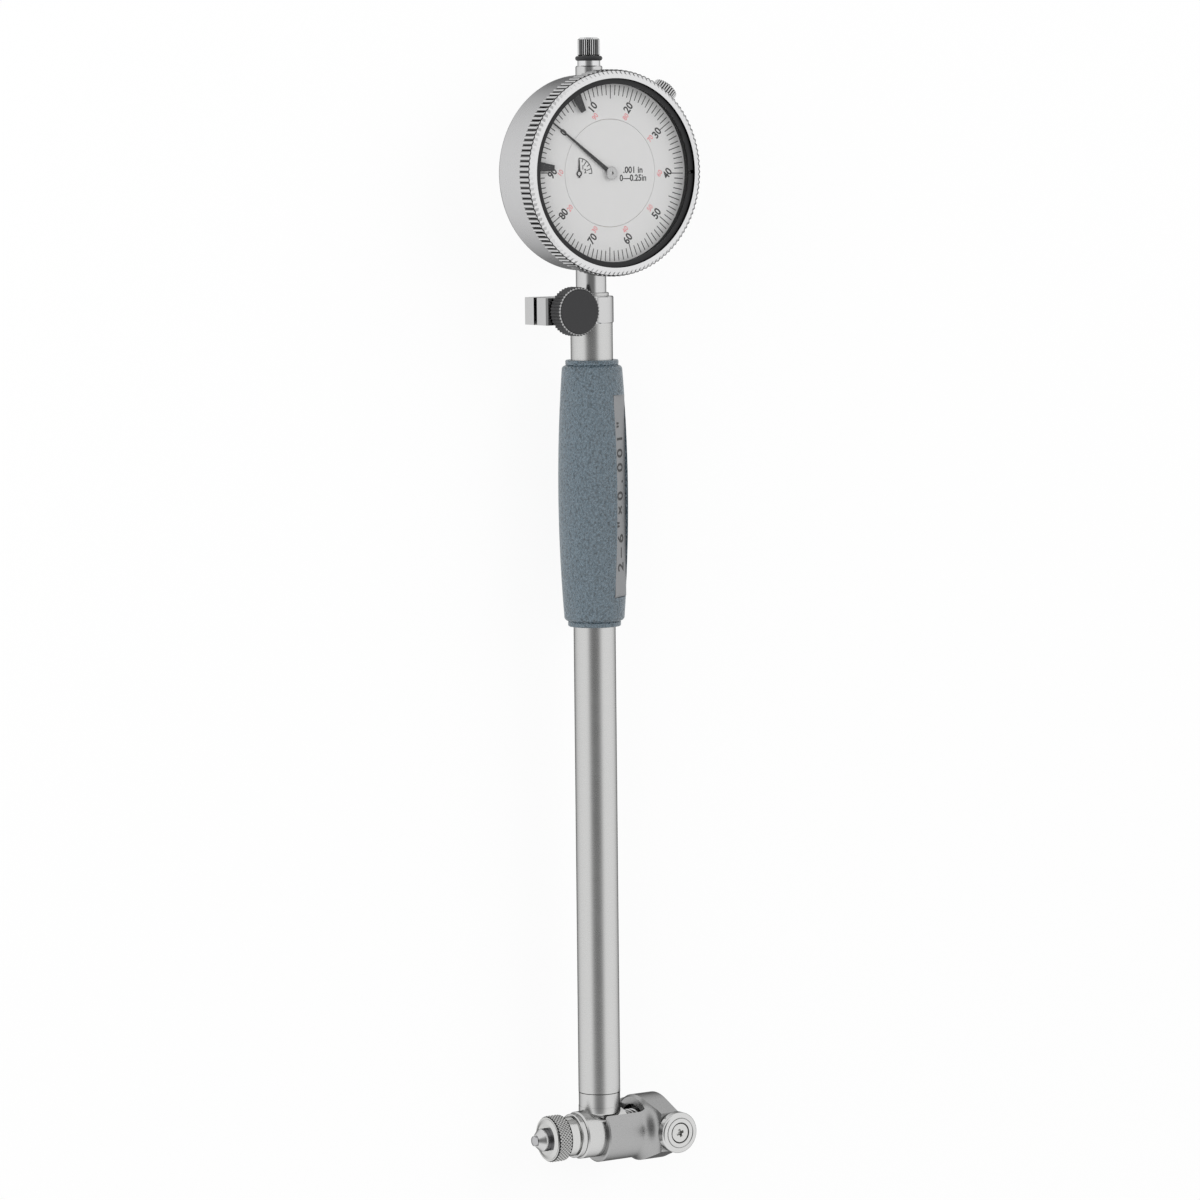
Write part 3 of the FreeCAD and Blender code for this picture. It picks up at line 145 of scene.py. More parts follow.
room = bpy.data.worlds.new("light_tent")
bpy.context.scene.world = room
tent = Nodes(room)
view_from = Vector((-math.sin(VIEW_SIDE) * math.cos(VIEW_LIFT), math.sin(VIEW_LIFT),
                    math.cos(VIEW_SIDE) * math.cos(VIEW_LIFT)))
ray = tent.node("ShaderNodeTexCoord", {}, {}, "Generated")
facing = tent.node("ShaderNodeVectorMath", {"operation": "DOT_PRODUCT"}, {0: ray, 1: view_from}, "Value")
tent_level = tent.node("ShaderNodeMapRange", {"interpolation_type": "SMOOTHSTEP"}, {
    "Value": facing, "From Min": OPENING_EDGE, "From Max": OPENING_CORE, "To Min": TENT, "To Max": OPENING})
camera_ray = tent.ray("Is Camera Ray")
seen = camera_ray.math("MAXIMUM", camera_ray, tent.ray("Is Transmission Ray"))
lit = tent.mix(tent.ray("Is Glossy Ray"), (FILL, FILL, FILL), tent.node("ShaderNodeCombineColor", {}, {
    0: tent_level, 1: tent_level, 2: tent_level}))
backdrop = tent.tree.nodes["Background"]
tent.feed(backdrop.inputs["Color"], tent.mix(seen, lit, (1.0, 1.0, 1.0)))


def softbox(name, place, aim, size, power):
    """A square lamp behind cloth, turned to its aim point; polished metal mirrors the tent alone."""
    lamp = bpy.data.lights.new(name, "AREA")
    lamp.shape = "SQUARE"
    lamp.size = size
    lamp.energy = power
    holder = bpy.data.objects.new(name, lamp)
    holder.location = place
    holder.rotation_euler = (Vector(aim) - Vector(place)).to_track_quat("-Z", "Y").to_euler()
    holder.visible_glossy = False
    bpy.context.scene.collection.objects.link(holder)


softbox("left_softbox", (-1.10, 0.45, 0.45), (0.0, 0.16, 0.0), 1.1, 10.0)
softbox("right_softbox", (0.85, 0.65, 0.80), (0.0, 0.20, 0.0), 1.0, 6.0)

camera = bpy.data.objects.new("camera", bpy.data.cameras.new("camera"))
across = (-view_from).cross(Vector((0.0, 1.0, 0.0))).normalized()
upward = across.cross(-view_from)
level_x = across * math.cos(VIEW_ROLL) + upward * math.sin(VIEW_ROLL)
level_y = upward * math.cos(VIEW_ROLL) - across * math.sin(VIEW_ROLL)
stance = Matrix((level_x, level_y, view_from)).transposed().to_4x4()
stance.translation = VIEW_TARGET + view_from * VIEW_DISTANCE
camera.matrix_world = stance
camera.data.sensor_width = 36.0
camera.data.lens = VIEW_LENS
camera.data.shift_x, camera.data.shift_y = VIEW_SHIFT
bpy.context.scene.collection.objects.link(camera)
bpy.context.scene.camera = camera
bpy.context.scene.view_settings.view_transform = "Standard"

# The table is a plain white sheet just under the lowest point of the gauge.
SHEET_COLOUR, SHEET_GLOW, SHEET_HALF, SHEET_GAP = (0.92, 0.92, 0.92), 0.90, 3.0, 0.0001
table_shape = bmesh.new()
bmesh.ops.create_grid(table_shape, x_segments=1, y_segments=1, size=SHEET_HALF,
                      matrix=Matrix.Translation((0.0, VIEW_TARGET.y, cad_low.z - SHEET_GAP)))
table_mesh = bpy.data.meshes.new("table")
table_shape.to_mesh(table_mesh)
table = bpy.data.objects.new("table", table_mesh)
bpy.context.scene.collection.objects.link(table)
sheet = bpy.data.materials.new("white_sheet")
sheet_nodes = Nodes(sheet)
sheet_shader = sheet_nodes.tree.nodes["Principled BSDF"]
sheet_nodes.feed(sheet_shader.inputs["Base Color"], SHEET_COLOUR)
sheet_shader.inputs["Roughness"].default_value = 0.8
seen_sheet = sheet_nodes.ray("Is Camera Ray")
for kind_of_ray in ("Is Glossy Ray", "Is Transmission Ray"):
    seen_sheet = seen_sheet.math("MAXIMUM", seen_sheet, sheet_nodes.ray(kind_of_ray))
glow = sheet_nodes.node("ShaderNodeEmission", {}, {"Color": (1.0, 1.0, 1.0), "Strength": 1.0})
mixed = sheet_nodes.node("ShaderNodeMixShader", {}, {
    0: seen_sheet * SHEET_GLOW, 1: Term(sheet_nodes, sheet_shader.outputs[0]), 2: glow})
sheet_nodes.feed(sheet_nodes.tree.nodes["Material Output"].inputs["Surface"], mixed)
table_mesh.materials.append(sheet)

# ------------------------------------------------------------ handle tube and measuring head
# The tube and the head's boss are steel, turned and satin ground; fine rings run round them.
# The lamp side stays bright, and the ground finish keeps every reflection soft.
SATIN_STEEL, SATIN_ROUGHNESS, EDGE_TINT = (0.62, 0.62, 0.615), 0.27, (0.12, 0.12, 0.12)


class Finish(Nodes):
    """A procedural finish: one Principled shader with grain in colour, gloss and relief."""

    def __init__(self, name, colour, roughness, metallic=0.0, **constants):
        self.material = bpy.data.materials.new(name)
        super().__init__(self.material)
        self.shader = self.tree.nodes["Principled BSDF"]
        self.set(Base_Color=colour, Metallic=metallic, Roughness=roughness, **constants)
        self.colour = colour

    def set(self, **sockets):
        """Sets sockets of the shader to values or links; their names have _ for a space."""
        for socket, value in sockets.items():
            self.feed(self.shader.inputs[socket.replace("_", " ")], value)

    def place(self, scale=(1.0, 1.0, 1.0), shift=(0.0, 0.0, 0.0)):
        """Object coordinates, stretched and moved."""
        at = self.node("ShaderNodeTexCoord", {}, {}, "Object")
        return self.node("ShaderNodeMapping", {}, {"Vector": at, "Location": shift, "Scale": scale})

    def along(self, axis):
        """How far along X, Y or Z a point lies, in metres."""
        return self.node("ShaderNodeSeparateXYZ", {}, {"Vector": self.place()}, axis)

    def from_axis(self, centre, axis="Z", turn=0.0):
        """How far a point lies, in metres, from an axis through a centre in millimetres.
        The axis runs along X, Y or Z, swung about Z by turn."""
        spot = self.place(shift=[-place * MM for place in centre])
        swung = self.node("ShaderNodeVectorRotate", {"rotation_type": "Z_AXIS"}, {
            "Vector": spot, "Angle": -turn})
        flat = self.node("ShaderNodeVectorMath", {"operation": "MULTIPLY"}, {
            0: swung, 1: [0.0 if axis == name else 1.0 for name in "XYZ"]})
        return self.node("ShaderNodeVectorMath", {"operation": "LENGTH"}, {0: flat}, "Value")

    def speckle(self, scale, detail=2.0):
        """Noise from 0 to 1, so many waves to the metre along each axis."""
        return self.node("ShaderNodeTexNoise", {}, {
            "Vector": self.place(scale), "Scale": 1.0, "Detail": detail}, "Fac")

    def grain(self, waves, spread, low, height=0.0):
        """Even grain in the gloss, and in relief where it has a height."""
        grain = self.speckle((waves, waves, waves))
        self.set(Roughness=grain * spread + low)
        if height:
            self.relief(grain, height)
        return grain

    def tone(self, share, low, high):
        """The finish's own colour, darker and lighter by the given factors."""
        dark = [level * low for level in self.colour]
        light = [min(1.0, level * high) for level in self.colour]
        shade = self.mix(share, dark, light)
        self.set(Base_Color=shade)
        return shade

    def relief(self, share, height):
        """Raises the surface by a share of a height in metres."""
        self.set(Normal=self.node("ShaderNodeBump", {}, {
            "Height": share, "Distance": height, "Strength": 1.0}))


def on_nodes(finish, *names):
    """Gives CAD nodes a finish, in their own material slots."""
    for name in names:
        for slot in frame["nodes"][name].material_slots:
            slot.material = finish.material


TOOL_MARKS, FINE_MARKS = 0.0000006, 0.0000003


def ground_metal(name, colour, roughness, rings, marks=TOOL_MARKS):
    """Metal with fine tool rings; rings gives the grain's waves to the metre on each axis."""
    finish = Finish(name, colour, roughness, 1.0, Specular_Tint=EDGE_TINT)
    lines = finish.speckle(rings)
    wear = finish.speckle((160.0, 160.0, 160.0), 3.0)
    finish.tone(wear * 0.5 + lines * 0.5, 0.95, 1.05)
    finish.set(Roughness=wear * 0.08 + lines * 0.05 + (roughness - 0.065))
    finish.relief(lines, marks)
    return finish


# Painted shade in knurl grooves: how dark it gets, and where down the groove it starts and ends.
GROOVE_SHADE, SHADED_BELOW, UNSHADED_ABOVE, KNURL_FOOT = 0.03, 0.85, 0.30, 1.15


def knurled_metal(name, colour, roughness, centre, axis, turn, crest, depth, well=0.0):
    """Ground metal with a knurl round an axis.  Its grooves are painted dark as shade and its crests keep
    the full colour, and what lies within the well's radius is black."""
    finish = Finish(name, colour, roughness, 1.0, Specular_Tint=EDGE_TINT)
    finish.grain(3000.0, 0.08, roughness - 0.04, TOOL_MARKS)
    radius = finish.from_axis(centre, axis, turn)
    rise = finish.node("ShaderNodeMapRange", {}, {
        "Value": radius, "From Min": (crest - depth * SHADED_BELOW) * MM,
        "From Max": (crest - depth * UNSHADED_ABOVE) * MM, "To Min": 0.0, "To Max": 1.0})
    # Painted shade: the grooves go nearly black towards their foot.
    on_knurl = radius > (crest - depth * KNURL_FOOT) * MM
    unshaded = (1.0 - on_knurl * (1.0 - rise)) * (radius > well * MM)
    dark = [level * GROOVE_SHADE for level in colour]
    finish.set(Base_Color=finish.mix(unshaded, dark, colour))
    return finish


# The tube's foot is dark where it meets the boss.
TUBE_RINGS, TUBE_MARKS, JOINT_WIDE, JOINT_DARK = (400.0, 6200.0, 400.0), 0.00000015, 0.22, (0.05, 0.05, 0.05)
tube_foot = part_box("handle_tube")[0].y / MM
tube_steel = ground_metal("tube_steel", SATIN_STEEL, SATIN_ROUGHNESS, TUBE_RINGS, TUBE_MARKS)
above_joint = tube_steel.along("Y") > (tube_foot + JOINT_WIDE) * MM
tube_shade = tube_steel.tone(tube_steel.speckle(TUBE_RINGS), 0.95, 1.05)
tube_steel.set(Base_Color=tube_steel.mix(above_joint, JOINT_DARK, tube_shade))
on_nodes(tube_steel, "handle_tube")
head_steel = ground_metal("head_steel", SATIN_STEEL, 0.24, (4000.0, 4000.0, 4000.0))
on_nodes(head_steel, "head_body", "spacing_washer")

# ------------------------------------------------------------ measuring parts in the head
# The contact, bell crank and crank pin are hardened steel; the tips are lapped carbide.  The
# contact is polished where it slides, and springs are drawn wire.
contact_steel = ground_metal("contact_steel", (0.72, 0.72, 0.72), 0.16, (5000.0, 80.0, 80.0))
on_nodes(contact_steel, "measuring_contact", "push_rod", "crank_pin")
crank_steel = ground_metal("crank_steel", (0.42, 0.42, 0.43), 0.34, (700.0, 700.0, 2600.0))
on_nodes(crank_steel, "bell_crank")
tip_carbide = ground_metal("tip_carbide", (0.50, 0.50, 0.51), 0.14, (600.0, 600.0, 600.0))
on_nodes(tip_carbide, "contact_tip", "anvil_tip")
spring_wire = ground_metal("spring_wire", (0.58, 0.58, 0.58), 0.22, (1500.0, 1500.0, 1500.0))
on_nodes(spring_wire, "hairspring")

# ------------------------------------------------------------ exchangeable anvil and its lock nut
# The anvil rod is ground bright at its end and left darker behind, where it goes through the
# nut.  The nut is steel with a diamond knurl: its grooves are painted dark as shade, and its crests keep the
# full colour.
ROD_BRIGHT, ROD_DARK, ROD_BRIGHT_LEN = (0.62, 0.62, 0.62), (0.22, 0.22, 0.23), 2.2
anvil_steel = Finish("anvil_steel", ROD_BRIGHT, 0.18, 1.0, Specular_Tint=EDGE_TINT)
behind_end = anvil_steel.along("X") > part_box("anvil_rod")[0].x + ROD_BRIGHT_LEN * MM
anvil_lines = anvil_steel.speckle((7000.0, 90.0, 90.0))
anvil_steel.set(Base_Color=anvil_steel.mix(behind_end, ROD_BRIGHT, ROD_DARK),
                Roughness=anvil_lines * 0.14 + 0.12)
anvil_steel.relief(anvil_lines, 0.000006)
on_nodes(anvil_steel, "anvil_rod")
NUT_R, NUT_KNURL = 6.7, 0.35
nut_steel = knurled_metal("nut_steel", (0.66, 0.66, 0.65), 0.22, (0.0, 0.0, 0.0), "X", 0.0,
                          NUT_R, NUT_KNURL)
on_nodes(nut_steel, "lock_nut")

# ------------------------------------------------------------ centralising bridge, wheels, screws
# The bridge is one milled piece of steel with a fine sandy finish.  Its wheels are polished,
# and cross-recessed shoulder screws hold them.
bridge_metal = Finish("bridge_metal", (0.42, 0.42, 0.42), 0.30, 1.0, Specular_Tint=EDGE_TINT)
BRIDGE_SAND = 0.000012
bridge_sand = bridge_metal.speckle((2600.0, 2600.0, 2600.0), 1.0)
bridge_metal.tone(bridge_sand, 0.90, 1.10)
bridge_metal.set(Roughness=bridge_sand * 0.16 + 0.22)
bridge_metal.relief(bridge_sand, BRIDGE_SAND)
on_nodes(bridge_metal, "guide_bridge")
# The wheel's face is turned in steps: a rounded rim, a sunk flat and a gap round the screw. The gap and a
# ring at the step are painted dark as shade.
STEP_R, STEP_WIDE, STEP_DEEP, STEP_SHADE_R, HEAD_GAP_R = 4.5, 0.35, 0.25, 4.4, 3.05
WHEEL_BRIGHT, WHEEL_SHADE, GAP_SHARE, STEP_SHARE = (0.66, 0.66, 0.655), (0.02, 0.02, 0.02), 0.93, 0.55
wheel_low, wheel_high = [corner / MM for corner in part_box("wheel_front")]
wheel_steel = Finish("wheel_steel", WHEEL_BRIGHT, 0.16, 1.0, Specular_Tint=EDGE_TINT)
wheel_out = wheel_steel.from_axis((wheel_low + wheel_high) / 2)
wheel_step = wheel_steel.node("ShaderNodeMapRange", {"interpolation_type": "SMOOTHSTEP"}, {
    "Value": wheel_out, "From Min": (STEP_R - STEP_WIDE) * MM, "From Max": STEP_R * MM})
# Painted shade: a dark ring inside the step and a near-black gap round the screw head.
step_shade = (wheel_out > (STEP_R - STEP_WIDE) * MM) * (1.0 - (wheel_out > STEP_SHADE_R * MM))
head_gap_shade = 1.0 - (wheel_out > HEAD_GAP_R * MM)
wheel_steel.grain(3500.0, 0.06, 0.13)
wheel_steel.set(Base_Color=wheel_steel.mix(
    head_gap_shade * GAP_SHARE + step_shade * STEP_SHARE, WHEEL_BRIGHT, WHEEL_SHADE))
wheel_steel.relief(wheel_step, STEP_DEEP * MM)
on_nodes(wheel_steel, "wheel_front", "wheel_rear")
pin_steel = ground_metal("pin_steel", (0.60, 0.60, 0.60), 0.20, (3500.0, 3500.0, 3500.0))
on_nodes(pin_steel, "guide_stop_screw")

SHARP_FROM, SAME_POINT = math.radians(30.0), 1e-5


def keep_piece(name, shape, finish, body, place=None):
    """Makes a new piece from a bmesh in millimetres and hangs it on its body."""
    bmesh.ops.remove_doubles(shape, verts=shape.verts[:], dist=SAME_POINT)
    bmesh.ops.recalc_face_normals(shape, faces=shape.faces[:])
    bmesh.ops.transform(shape, matrix=Matrix.Scale(MM, 4) @ (place or Matrix()), verts=shape.verts[:])
    mesh = bpy.data.meshes.new(name)
    shape.to_mesh(mesh)
    shape.free()
    mesh.shade_smooth()
    mesh.set_sharp_from_angle(angle=SHARP_FROM)
    mesh.materials.append(finish.material)
    piece = bpy.data.objects.new(name, mesh)
    bpy.context.scene.collection.objects.link(piece)
    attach(piece, body)
    return piece


def revolved(shape, corners, steps=64):
    """Turns a closed outline of (radius, height) corners about Z into a solid."""
    verts = [shape.verts.new((radius, 0.0, height)) for radius, height in corners]
    edges = [shape.edges.new(pair) for pair in zip(verts, verts[1:])]
    bmesh.ops.spin(shape, geom=verts + edges, cent=(0, 0, 0), axis=(0, 0, 1), dvec=(0, 0, 0),
                   angle=2 * math.pi, steps=steps, use_merge=True, use_duplicate=False)


RECESS_R, RECESS_DEEP, RECESS_WIDE, POINT_LONG, POINT_WIDE = 1.65, 1.0, 0.62, 0.45, 0.6


def cross_recess():
    """A screw head's cross recess as a cutter: two tapered bars, crossed, point down."""
    cutter = bmesh.new()
    for quarter in range(2):
        bar = bmesh.ops.create_cube(cutter, size=1.0)["verts"]
        bmesh.ops.scale(cutter, vec=(2 * RECESS_R, RECESS_R * RECESS_WIDE, 2 * RECESS_DEEP), verts=bar)
        for vert in bar:
            if vert.co.z < 0:
                vert.co.x *= POINT_LONG
                vert.co.y *= POINT_WIDE
        bmesh.ops.rotate(cutter, matrix=Matrix.Rotation(quarter * math.pi / 2, 3, "Z"), verts=bar)
    return cutter


def with_recess(solid):
    """Cuts the cross recess into a screw whose head ends at height 0 and gives the screw back."""
    holders = []
    for name, shape in (("solid", solid), ("cutter", cross_recess())):
        mesh = bpy.data.meshes.new(name)
        bmesh.ops.recalc_face_normals(shape, faces=shape.faces[:])
        shape.to_mesh(mesh)
        shape.free()
        holder = bpy.data.objects.new(name, mesh)
        bpy.context.scene.collection.objects.link(holder)
        holders.append(holder)
    cut = holders[0].modifiers.new("recess", "BOOLEAN")
    cut.operation = "DIFFERENCE"
    cut.solver = "EXACT"
    cut.use_self = True
    cut.object = holders[1]
    result = bpy.data.meshes.new_from_object(
        holders[0].evaluated_get(bpy.context.evaluated_depsgraph_get()))
    screw = bmesh.new()
    screw.from_mesh(result)
    for holder in holders:
        bpy.data.objects.remove(holder)
    return screw


HEAD_R, HEAD_DEEP, HEAD_EDGE, SHANK_R, SCREW_LEN, SCREW_TURN = 2.8, 1.0, 0.15, 1.45, 8.0, 0.35
screw_box = [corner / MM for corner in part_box("wheel_screws")]
wheel_axis_x = (screw_box[0].x + screw_box[1].x) / 2
wheel_axis_y = (screw_box[0].y + screw_box[1].y) / 2
screw_steel = ground_metal("screw_steel", (0.66, 0.66, 0.65), 0.20, (3500.0, 3500.0, 3500.0))
both_screws = bmesh.new()
for facing_turn in (0.0, math.pi):
    solid = bmesh.new()
    revolved(solid, [
        (0.0, -SCREW_LEN), (SHANK_R, -SCREW_LEN), (SHANK_R, -HEAD_DEEP),
        (HEAD_R, -HEAD_EDGE), (HEAD_R - HEAD_EDGE, 0.0), (0.0, 0.0)], 48)
    screw = with_recess(solid)
    seat = Matrix.Rotation(facing_turn, 4, "X") @ Matrix.Translation((0.0, 0.0, screw_box[1].z))
    bmesh.ops.transform(screw, matrix=seat @ Matrix.Rotation(SCREW_TURN, 4, "Z"), verts=screw.verts[:])
    part = bpy.data.meshes.new("screw")
    screw.to_mesh(part)
    both_screws.from_mesh(part)
shoulder_screws = keep_piece(
    "shoulder_screws", both_screws, screw_steel, "bridge",
    Matrix.Translation((wheel_axis_x, wheel_axis_y, 0.0)))
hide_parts("wheel_screws")

# The boss of the head ends in a rounded skirt that comes down round the barrel.
SKIRT_R, SKIRT_LOW, SKIRT_TOP, SKIRT_ROUND, SKIRT_BORE = 6.02, 5.6, 8.0, 0.8, 4.0
skirt = bmesh.new()
skirt_corner = [(SKIRT_R - SKIRT_ROUND + SKIRT_ROUND * math.sin(math.radians(angle)),
                 SKIRT_LOW + SKIRT_ROUND - SKIRT_ROUND * math.cos(math.radians(angle)))
                for angle in range(0, 91, 15)]
revolved(skirt, [(SKIRT_BORE, SKIRT_TOP), (SKIRT_BORE, SKIRT_LOW)] + skirt_corner
         + [(SKIRT_R, SKIRT_TOP), (SKIRT_BORE, SKIRT_TOP)], 96)
keep_piece("boss_skirt", skirt, head_steel, "frame",
           Matrix.Rotation(math.radians(-90), 4, "X"))

# ------------------------------------------------------------ coil springs
# Each spring is wound from drawn wire and sits between a fixed seat and a sliding one.  It is
# copied from its CAD node into a new piece on the frame, and the CAD node is hidden.
slides = [joint for joint in frame["joints"] if joint["type"] == "slide"]
for joint in slides:
    for coil in joint.get("deforming_nodes", []):
        slide, travel = Vector(joint["axis"]), joint["range_m"][1]
        ends = sorted(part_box(coil["node"]), key=slide.dot)
        length = (ends[1] - ends[0]).dot(slide)
        wound = bmesh.new()
        wound.from_mesh(frame["nodes"][coil["node"]].data)
        bmesh.ops.scale(wound, vec=(1 / MM, 1 / MM, 1 / MM), verts=wound.verts[:])
        spring = keep_piece(
            coil["node"].replace("spring", "coil"), wound, spring_wire, "frame")
        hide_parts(coil["node"])
        (length - travel) / length
        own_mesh(spring)

# ------------------------------------------------------------ grip and range plate
# The grip is moulded plastic with a leather grain.  The plate let into it is dark anodised
# aluminium, with its range and reading cut in and filled with black.
grip_plastic = Finish("grip_plastic", (0.114, 0.163, 0.200), 0.36, Specular_IOR_Level=1.0)
pebbles = grip_plastic.node("ShaderNodeTexVoronoi", {"feature": "SMOOTH_F1"}, {
    "Vector": grip_plastic.place((1700.0, 1500.0, 1700.0)), "Scale": 1.0, "Smoothness": 0.25}, "Distance")
folds = grip_plastic.speckle((1600.0, 1400.0, 1600.0), 1.0)
GRIP_RELIEF, PEBBLE_LIGHT, FOLD_DARK = 0.0006, 1.45, 0.40
leather = pebbles * 0.7 + folds * 0.6
grip_plastic.tone(leather, PEBBLE_LIGHT, FOLD_DARK)
grip_plastic.set(Roughness=leather * 0.20 + 0.20)
grip_plastic.relief(1.0 - leather, GRIP_RELIEF)
on_nodes(grip_plastic, "grip")

plate_metal = Finish("plate_metal", (0.21, 0.215, 0.222), 0.38, 0.4)
plate_grain = plate_metal.speckle((4000.0, 60.0, 4000.0))
plate_metal.tone(plate_grain, 0.88, 1.12)
plate_metal.set(Roughness=plate_grain * 0.12 + 0.32)
plate_metal.relief(plate_grain, 0.000006)
on_nodes(plate_metal, "range_plate")

black_fill = Finish("black_fill", (0.012, 0.012, 0.012), 0.55)
black_fill.grain(3000.0, 0.2, 0.45)
FILL_PROUD, CAPITAL_SHARE = 0.03, 0.7


def lettering(shape, words, height, place, wide=1.0, thick=FILL_PROUD, bold=0.0):
    """Adds words to a bmesh, in millimetres, as thin closed slabs with their middle at a place."""
    curve = bpy.data.curves.new("words", "FONT")
    curve.body = words
    curve.size = height / CAPITAL_SHARE
    curve.align_x = "CENTER"
    curve.resolution_u = 4
    curve.extrude = thick
    curve.offset = bold
    holder = bpy.data.objects.new("words", curve)
    bpy.context.scene.collection.objects.link(holder)
    mesh = bpy.data.meshes.new_from_object(holder.evaluated_get(bpy.context.evaluated_depsgraph_get()))
    bpy.data.objects.remove(holder)
    middle = Matrix.Translation((0.0, -height / 2, 0.0))
    mesh.transform(place @ Matrix.Diagonal((wide, 1.0, 1.0, 1.0)) @ middle)
    shape.from_mesh(mesh)


PLATE_TURN, PLATE_FACE, PLATE_LETTERS, PLATE_PITCH = math.radians(36.0), 8.15, 4.1, 4.05
PLATE_WORDS, PLATE_NARROW, PLATE_BOLD = '2–6"×0.001"', 0.92, 0.10
plate_low, plate_high = [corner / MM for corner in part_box("range_plate")]
plate_out = Vector((math.sin(PLATE_TURN), 0.0, math.cos(PLATE_TURN)))
plate_up = Vector((-math.cos(PLATE_TURN), 0.0, math.sin(PLATE_TURN)))
plate_lie = Matrix((Vector((0, 1, 0)), plate_up, plate_out)).transposed().to_4x4()
plate_lie.translation = plate_out * PLATE_FACE + Vector((0, (plate_low.y + plate_high.y) / 2, 0))
plate_words = bmesh.new()
for index, letter in enumerate(PLATE_WORDS):
    along = (index - (len(PLATE_WORDS) - 1) / 2) * PLATE_PITCH
    lettering(plate_words, letter, PLATE_LETTERS, plate_lie @ Matrix.Translation((along, 0, 0)),
              PLATE_NARROW, bold=PLATE_BOLD)
keep_piece("range_lettering", plate_words, black_fill, "frame")

# ------------------------------------------------------------ stem clamp
# The clamp collar is polished; its knob is moulded black with a knurled edge, on a steel stud.
collar_chrome = ground_metal("collar_chrome", (0.62, 0.62, 0.62), 0.12, (3000.0, 4200.0, 3000.0), FINE_MARKS)
on_nodes(collar_chrome, "clamp_collar", "indicator_stem", "clamp_stud", "upper_bushing")
knob_plastic = Finish("knob_plastic", (0.032, 0.032, 0.034), 0.45, Specular_IOR_Level=0.3)
knob_grain = knob_plastic.grain(2400.0, 0.2, 0.38, 0.00002)
# The crests of its edge are painted pale at the top as a painted highlight.
HIGHLIGHT_R, HIGHLIGHT_DEEP, HIGHLIGHT_GREY = 6.35, 0.6, (0.34, 0.34, 0.34)
knob_low, knob_high = [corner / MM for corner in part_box("clamp_knob")]
knob_highlight = (knob_plastic.from_axis((knob_low + knob_high) / 2) > HIGHLIGHT_R * MM) * (
    knob_plastic.along("Z") > (knob_high.z - HIGHLIGHT_DEEP) * MM)
knob_shade = knob_plastic.mix(knob_grain, (0.026, 0.026, 0.027), (0.038, 0.038, 0.040))
knob_plastic.set(Base_Color=knob_plastic.mix(knob_highlight, knob_shade, HIGHLIGHT_GREY))
on_nodes(knob_plastic, "clamp_knob")

# ------------------------------------------------------------ indicator case and back
# The case and back cover are satin aluminium, turned, with cross-recessed cover screws.
case_metal = ground_metal("case_metal", (0.66, 0.66, 0.665), 0.28, (700.0, 700.0, 5200.0), FINE_MARKS)
on_nodes(case_metal, "indicator_case", "lock_boss")
cover_metal = ground_metal("cover_metal", (0.60, 0.60, 0.605), 0.30, (500.0, 500.0, 500.0))
on_nodes(cover_metal, "back_cover")
on_nodes(screw_steel, "cover_screws")

LOCK_TURN, LOCK_Z, LOCK_R, LOCK_KNURL = math.radians(43.5), 5.4, 3.75, 0.35
case_low, case_high = [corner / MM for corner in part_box("back_cover")]
case_middle = (case_low + case_high) / 2
lock_steel = knurled_metal("lock_steel", (0.70, 0.70, 0.70), 0.20,
                           (case_middle.x, case_middle.y, LOCK_Z), "Y", -LOCK_TURN, LOCK_R, LOCK_KNURL)
on_nodes(lock_steel, "bezel_lock_screw")

# ------------------------------------------------------------ movement
# Brass plates and gears on steel arbors, as in a clock; it shows only when the case is open.
movement_brass = ground_metal("movement_brass", (0.74, 0.54, 0.25), 0.26, (900.0, 900.0, 2800.0))
on_nodes(movement_brass, "rear_plate", "front_plate", "drive_gear", "counter_gear", "spindle_guide",
         "rod_bush", "plate_pillars")
arbor_steel = ground_metal("arbor_steel", (0.60, 0.60, 0.60), 0.18, (600.0, 600.0, 5200.0))
on_nodes(arbor_steel, "rack_arbor", "centre_arbor", "counter_arbor", "guide_pin")
spindle_steel = ground_metal("spindle_steel", (0.70, 0.70, 0.70), 0.15, (80.0, 5200.0, 80.0))
on_nodes(spindle_steel, "spindle", "contact_point")

# ------------------------------------------------------------ dial
# Two steel discs painted light grey: the outer ring turns with the bezel, and the middle stays.
# Black print counts up clockwise in hundredths of a turn, and red numerals count back.
dial_paint = Finish("dial_paint", (0.665, 0.662, 0.66), 0.42)
dial_dust = dial_paint.speckle((1500.0, 1500.0, 1500.0))
dial_paint.tone(dial_dust, 0.975, 1.025)
dial_paint.set(Roughness=dial_dust * 0.12 + 0.36)
on_nodes(dial_paint, "dial_ring", "dial_center")
black_print = Finish("black_print", (0.012, 0.012, 0.013), 0.5)
black_print.grain(2500.0, 0.2, 0.4)
red_print = Finish("red_print", (0.72, 0.14, 0.16), 0.5)
red_print.grain(2500.0, 0.2, 0.4)

DIVISIONS, DIVISION, DIAL_TURN = 100, 3.6, 53.1
TICK_OUTER, TICK_SHORT, TICK_LONG, TICK_WIDE = 24.7, 2.9, 3.9, 0.26
NUMERAL_R, NUMERAL_TALL, RED_R, RED_TALL = 19.3, 2.3, 16.6, 1.5
PRINT_THICK, PRINT_NARROW, NUMERAL_BOLD, WORD_BOLD = 0.012, 0.86, 0.09, 0.06
ring_low, ring_high = [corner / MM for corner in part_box("dial_ring")]
dial_middle = Vector(((ring_low.x + ring_high.x) / 2, (ring_low.y + ring_high.y) / 2, ring_high.z))
dial_place = Matrix.Translation(dial_middle)
print_lie = dial_place @ Matrix.Rotation(math.radians(DIAL_TURN), 4, "Z")


